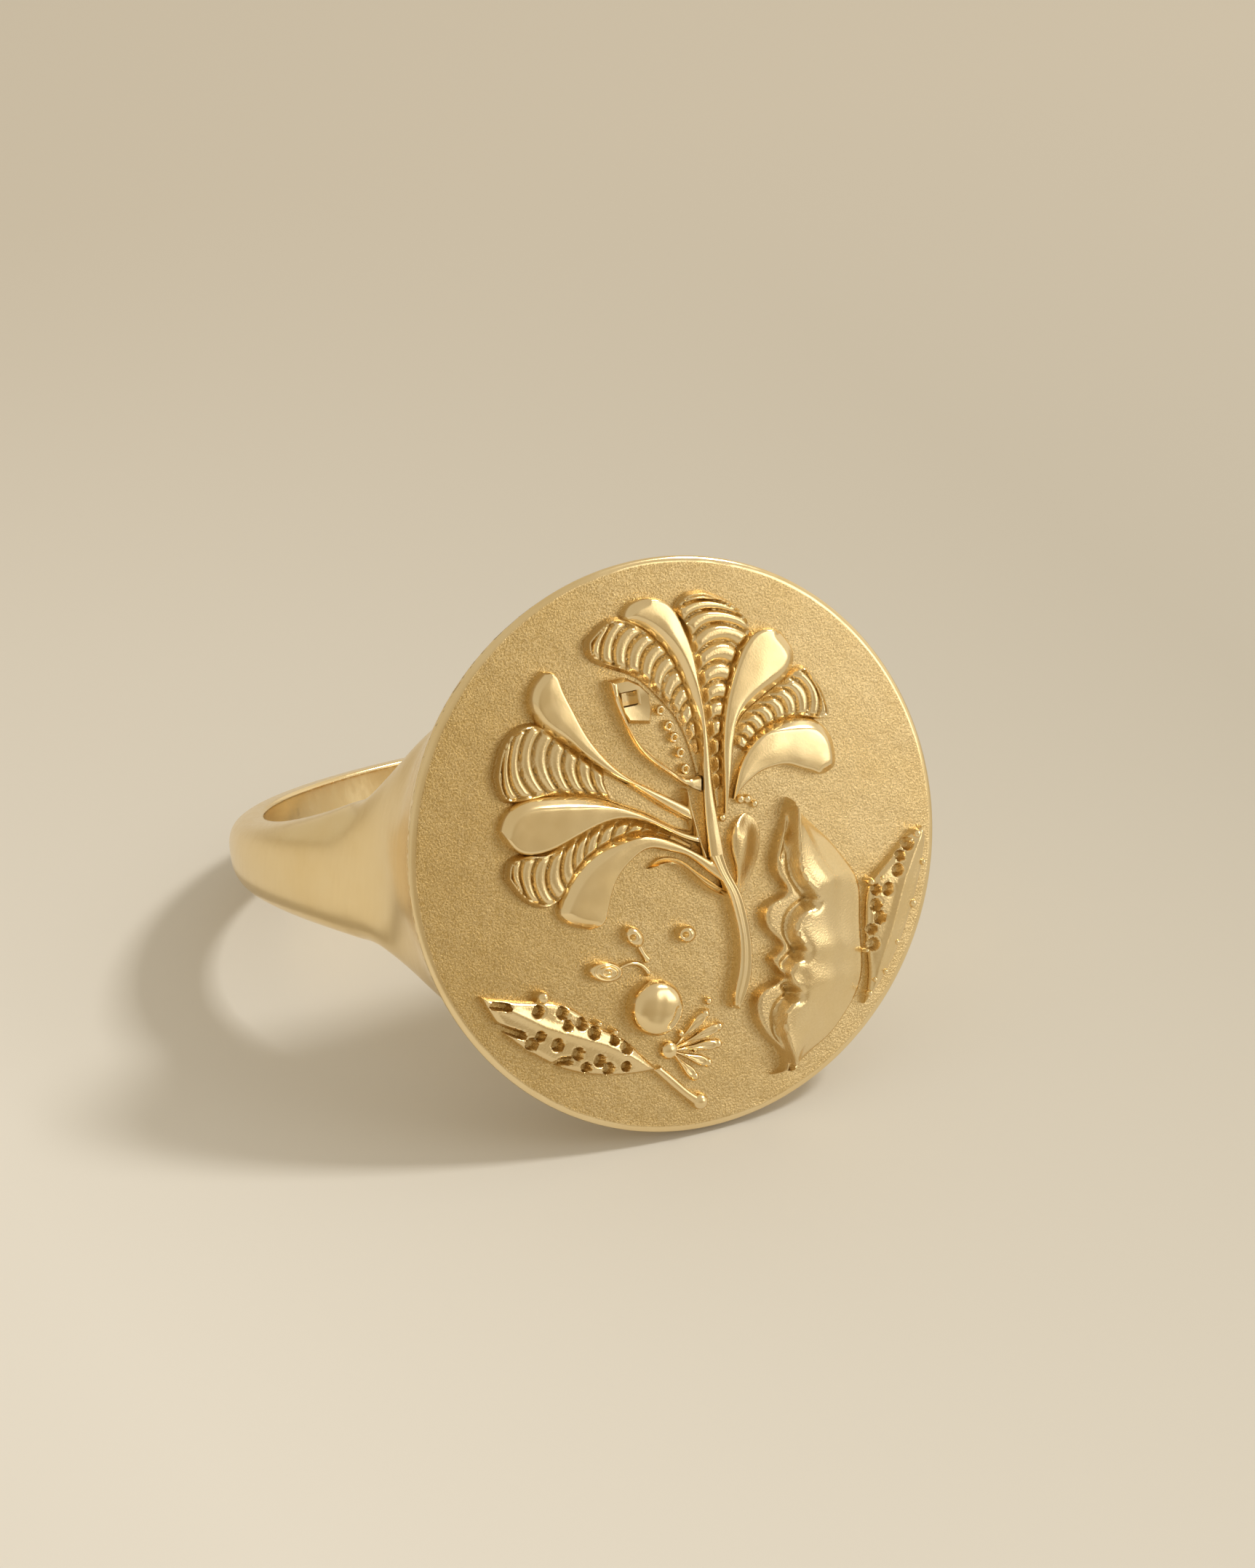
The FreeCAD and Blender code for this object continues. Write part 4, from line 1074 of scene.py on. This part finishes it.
def add_floor():
    """A plain floor that runs far past the view: pale, with painted light at the front left and
    painted shade that makes it greyer to the right and the back.
    """
    half = 2.5
    mesh = bpy.data.meshes.new("floor")
    corners = [(-half, -half, 0), (half, -half, 0), (half, half, 0), (-half, half, 0)]
    mesh.from_pydata(corners, [], [(0, 1, 2, 3)])
    material = bpy.data.materials.new("floor")
    material.use_nodes = True
    tree = material.node_tree
    shader = tree.nodes["Principled BSDF"]
    parts = node(tree, "SeparateXYZ")
    tree.links.new(node(tree, "TexCoord").outputs["Object"], parts.inputs["Vector"])
    # painted light and shade: the floor's colour fades from the lit front left to the right and the
    # back
    to_right = mapped(tree, parts.outputs["X"], -0.02, 0.03, 0.0, 1.0)
    to_back = mapped(tree, parts.outputs["Y"], 0.0, 0.06, 0.0, 1.0)
    front = mixed(tree, "RGBA", to_right, FLOOR_LIT_LEFT, FLOOR_SHADED_RIGHT)
    colour = mixed(tree, "RGBA", to_back, front, FLOOR_SHADED_BACK)
    tree.links.new(colour, shader.inputs["Base Color"])
    shader.inputs["Roughness"].default_value = 0.85
    mesh.materials.append(material)
    floor = bpy.data.objects.new("floor", mesh)
    bpy.context.scene.collection.objects.link(floor)


def add_light(name, place, target, size, power, colour):
    """A square soft light at a place, turned towards its target, in metres and watts."""
    light = bpy.data.lights.new(name, "AREA")
    light.size = size
    light.energy = power
    light.color = colour
    lamp = bpy.data.objects.new(name, light)
    lamp.location = place
    lamp.rotation_mode = "QUATERNION"
    lamp.rotation_quaternion = (Vector(target) - Vector(place)).to_track_quat("-Z", "Y")
    bpy.context.scene.collection.objects.link(lamp)


def add_lights():
    """Studio light: a key from the upper right, and a soft panel close in front on the right."""
    aim = (0, 0, 0.006)
    add_light("key", (0.357, -0.095, 0.473), aim, 0.10, 1.5, (1.0, 0.96, 0.87))
    add_light("side_panel", (0.044, -0.058, 0.034), aim, 0.032, 0.0058, (1.0, 0.94, 0.82))


def add_world():
    """A warm surround, darker straight ahead of the face and brighter on its right."""
    world = bpy.data.worlds.new("surround")
    world.use_nodes = True
    tree = world.node_tree
    tree.nodes.clear()
    direction = node(tree, "TexCoord").outputs["Generated"]
    parts = node(tree, "SeparateXYZ")
    tree.links.new(direction, parts.inputs["Vector"])
    rightwards = mapped(tree, parts.outputs["X"], -0.2, 0.9, 0.0, 1.0)
    sides = mixed(tree, "RGBA", rightwards, SURROUND_LEFT, SURROUND_RIGHT)
    ahead = mapped(tree, parts.outputs["Y"], -1.0, -0.6, 1.0, 0.0)
    around = mixed(tree, "RGBA", ahead, sides, SURROUND_AHEAD)
    height = mapped(tree, parts.outputs["Z"], 0.2, 0.9, 0.0, 1.0)
    colour = mixed(tree, "RGBA", height, around, SURROUND_OVERHEAD)
    background = node(tree, "Background", Strength=1.0)
    tree.links.new(colour, background.inputs["Color"])
    output = node(tree, "OutputWorld")
    tree.links.new(background.outputs["Background"], output.inputs["Surface"])
    bpy.context.scene.world = world
    bpy.context.scene.view_settings.view_transform = "Standard"


def main():
    """The whole scene: the ring's pieces, and the stage round them."""
    relief_gold = frosted_to_polished_gold("polished_gold", 0.18)
    ground_gold = frosted_to_polished_gold("frosted_gold", 0.16)
    band_gold = satin_gold()
    add_piece("ring_body", ring_body(), ["shank", "signet_head"], band_gold,
              to_world=ring_to_world)
    add_piece("signet_face", face_plate(), ["face_plate"], ground_gold)
    ornaments = {name: petal(name) for name in PETALS}
    for name, measures in FANS.items():
        ornaments[name] = fan(*measures)
    for name in BUDS:
        ornaments[name] = bud(name)
    for make in (flower_stem, seed_bud, bead_row, left_sepal, right_calyx, calyx_grains,
                 acanthus_leaf, left_fern_leaf, right_fern_leaf, fern_stalk, berry, sprig):
        ornaments[make.__name__] = make()
    for name, body in ornaments.items():
        sharp = 25 if name == "seed_bud" else 60
        add_piece(name + "_relief", body, [name], relief_gold, sharp_angle=sharp)
    add_floor()
    add_world()
    add_lights()
    add_camera()


main()
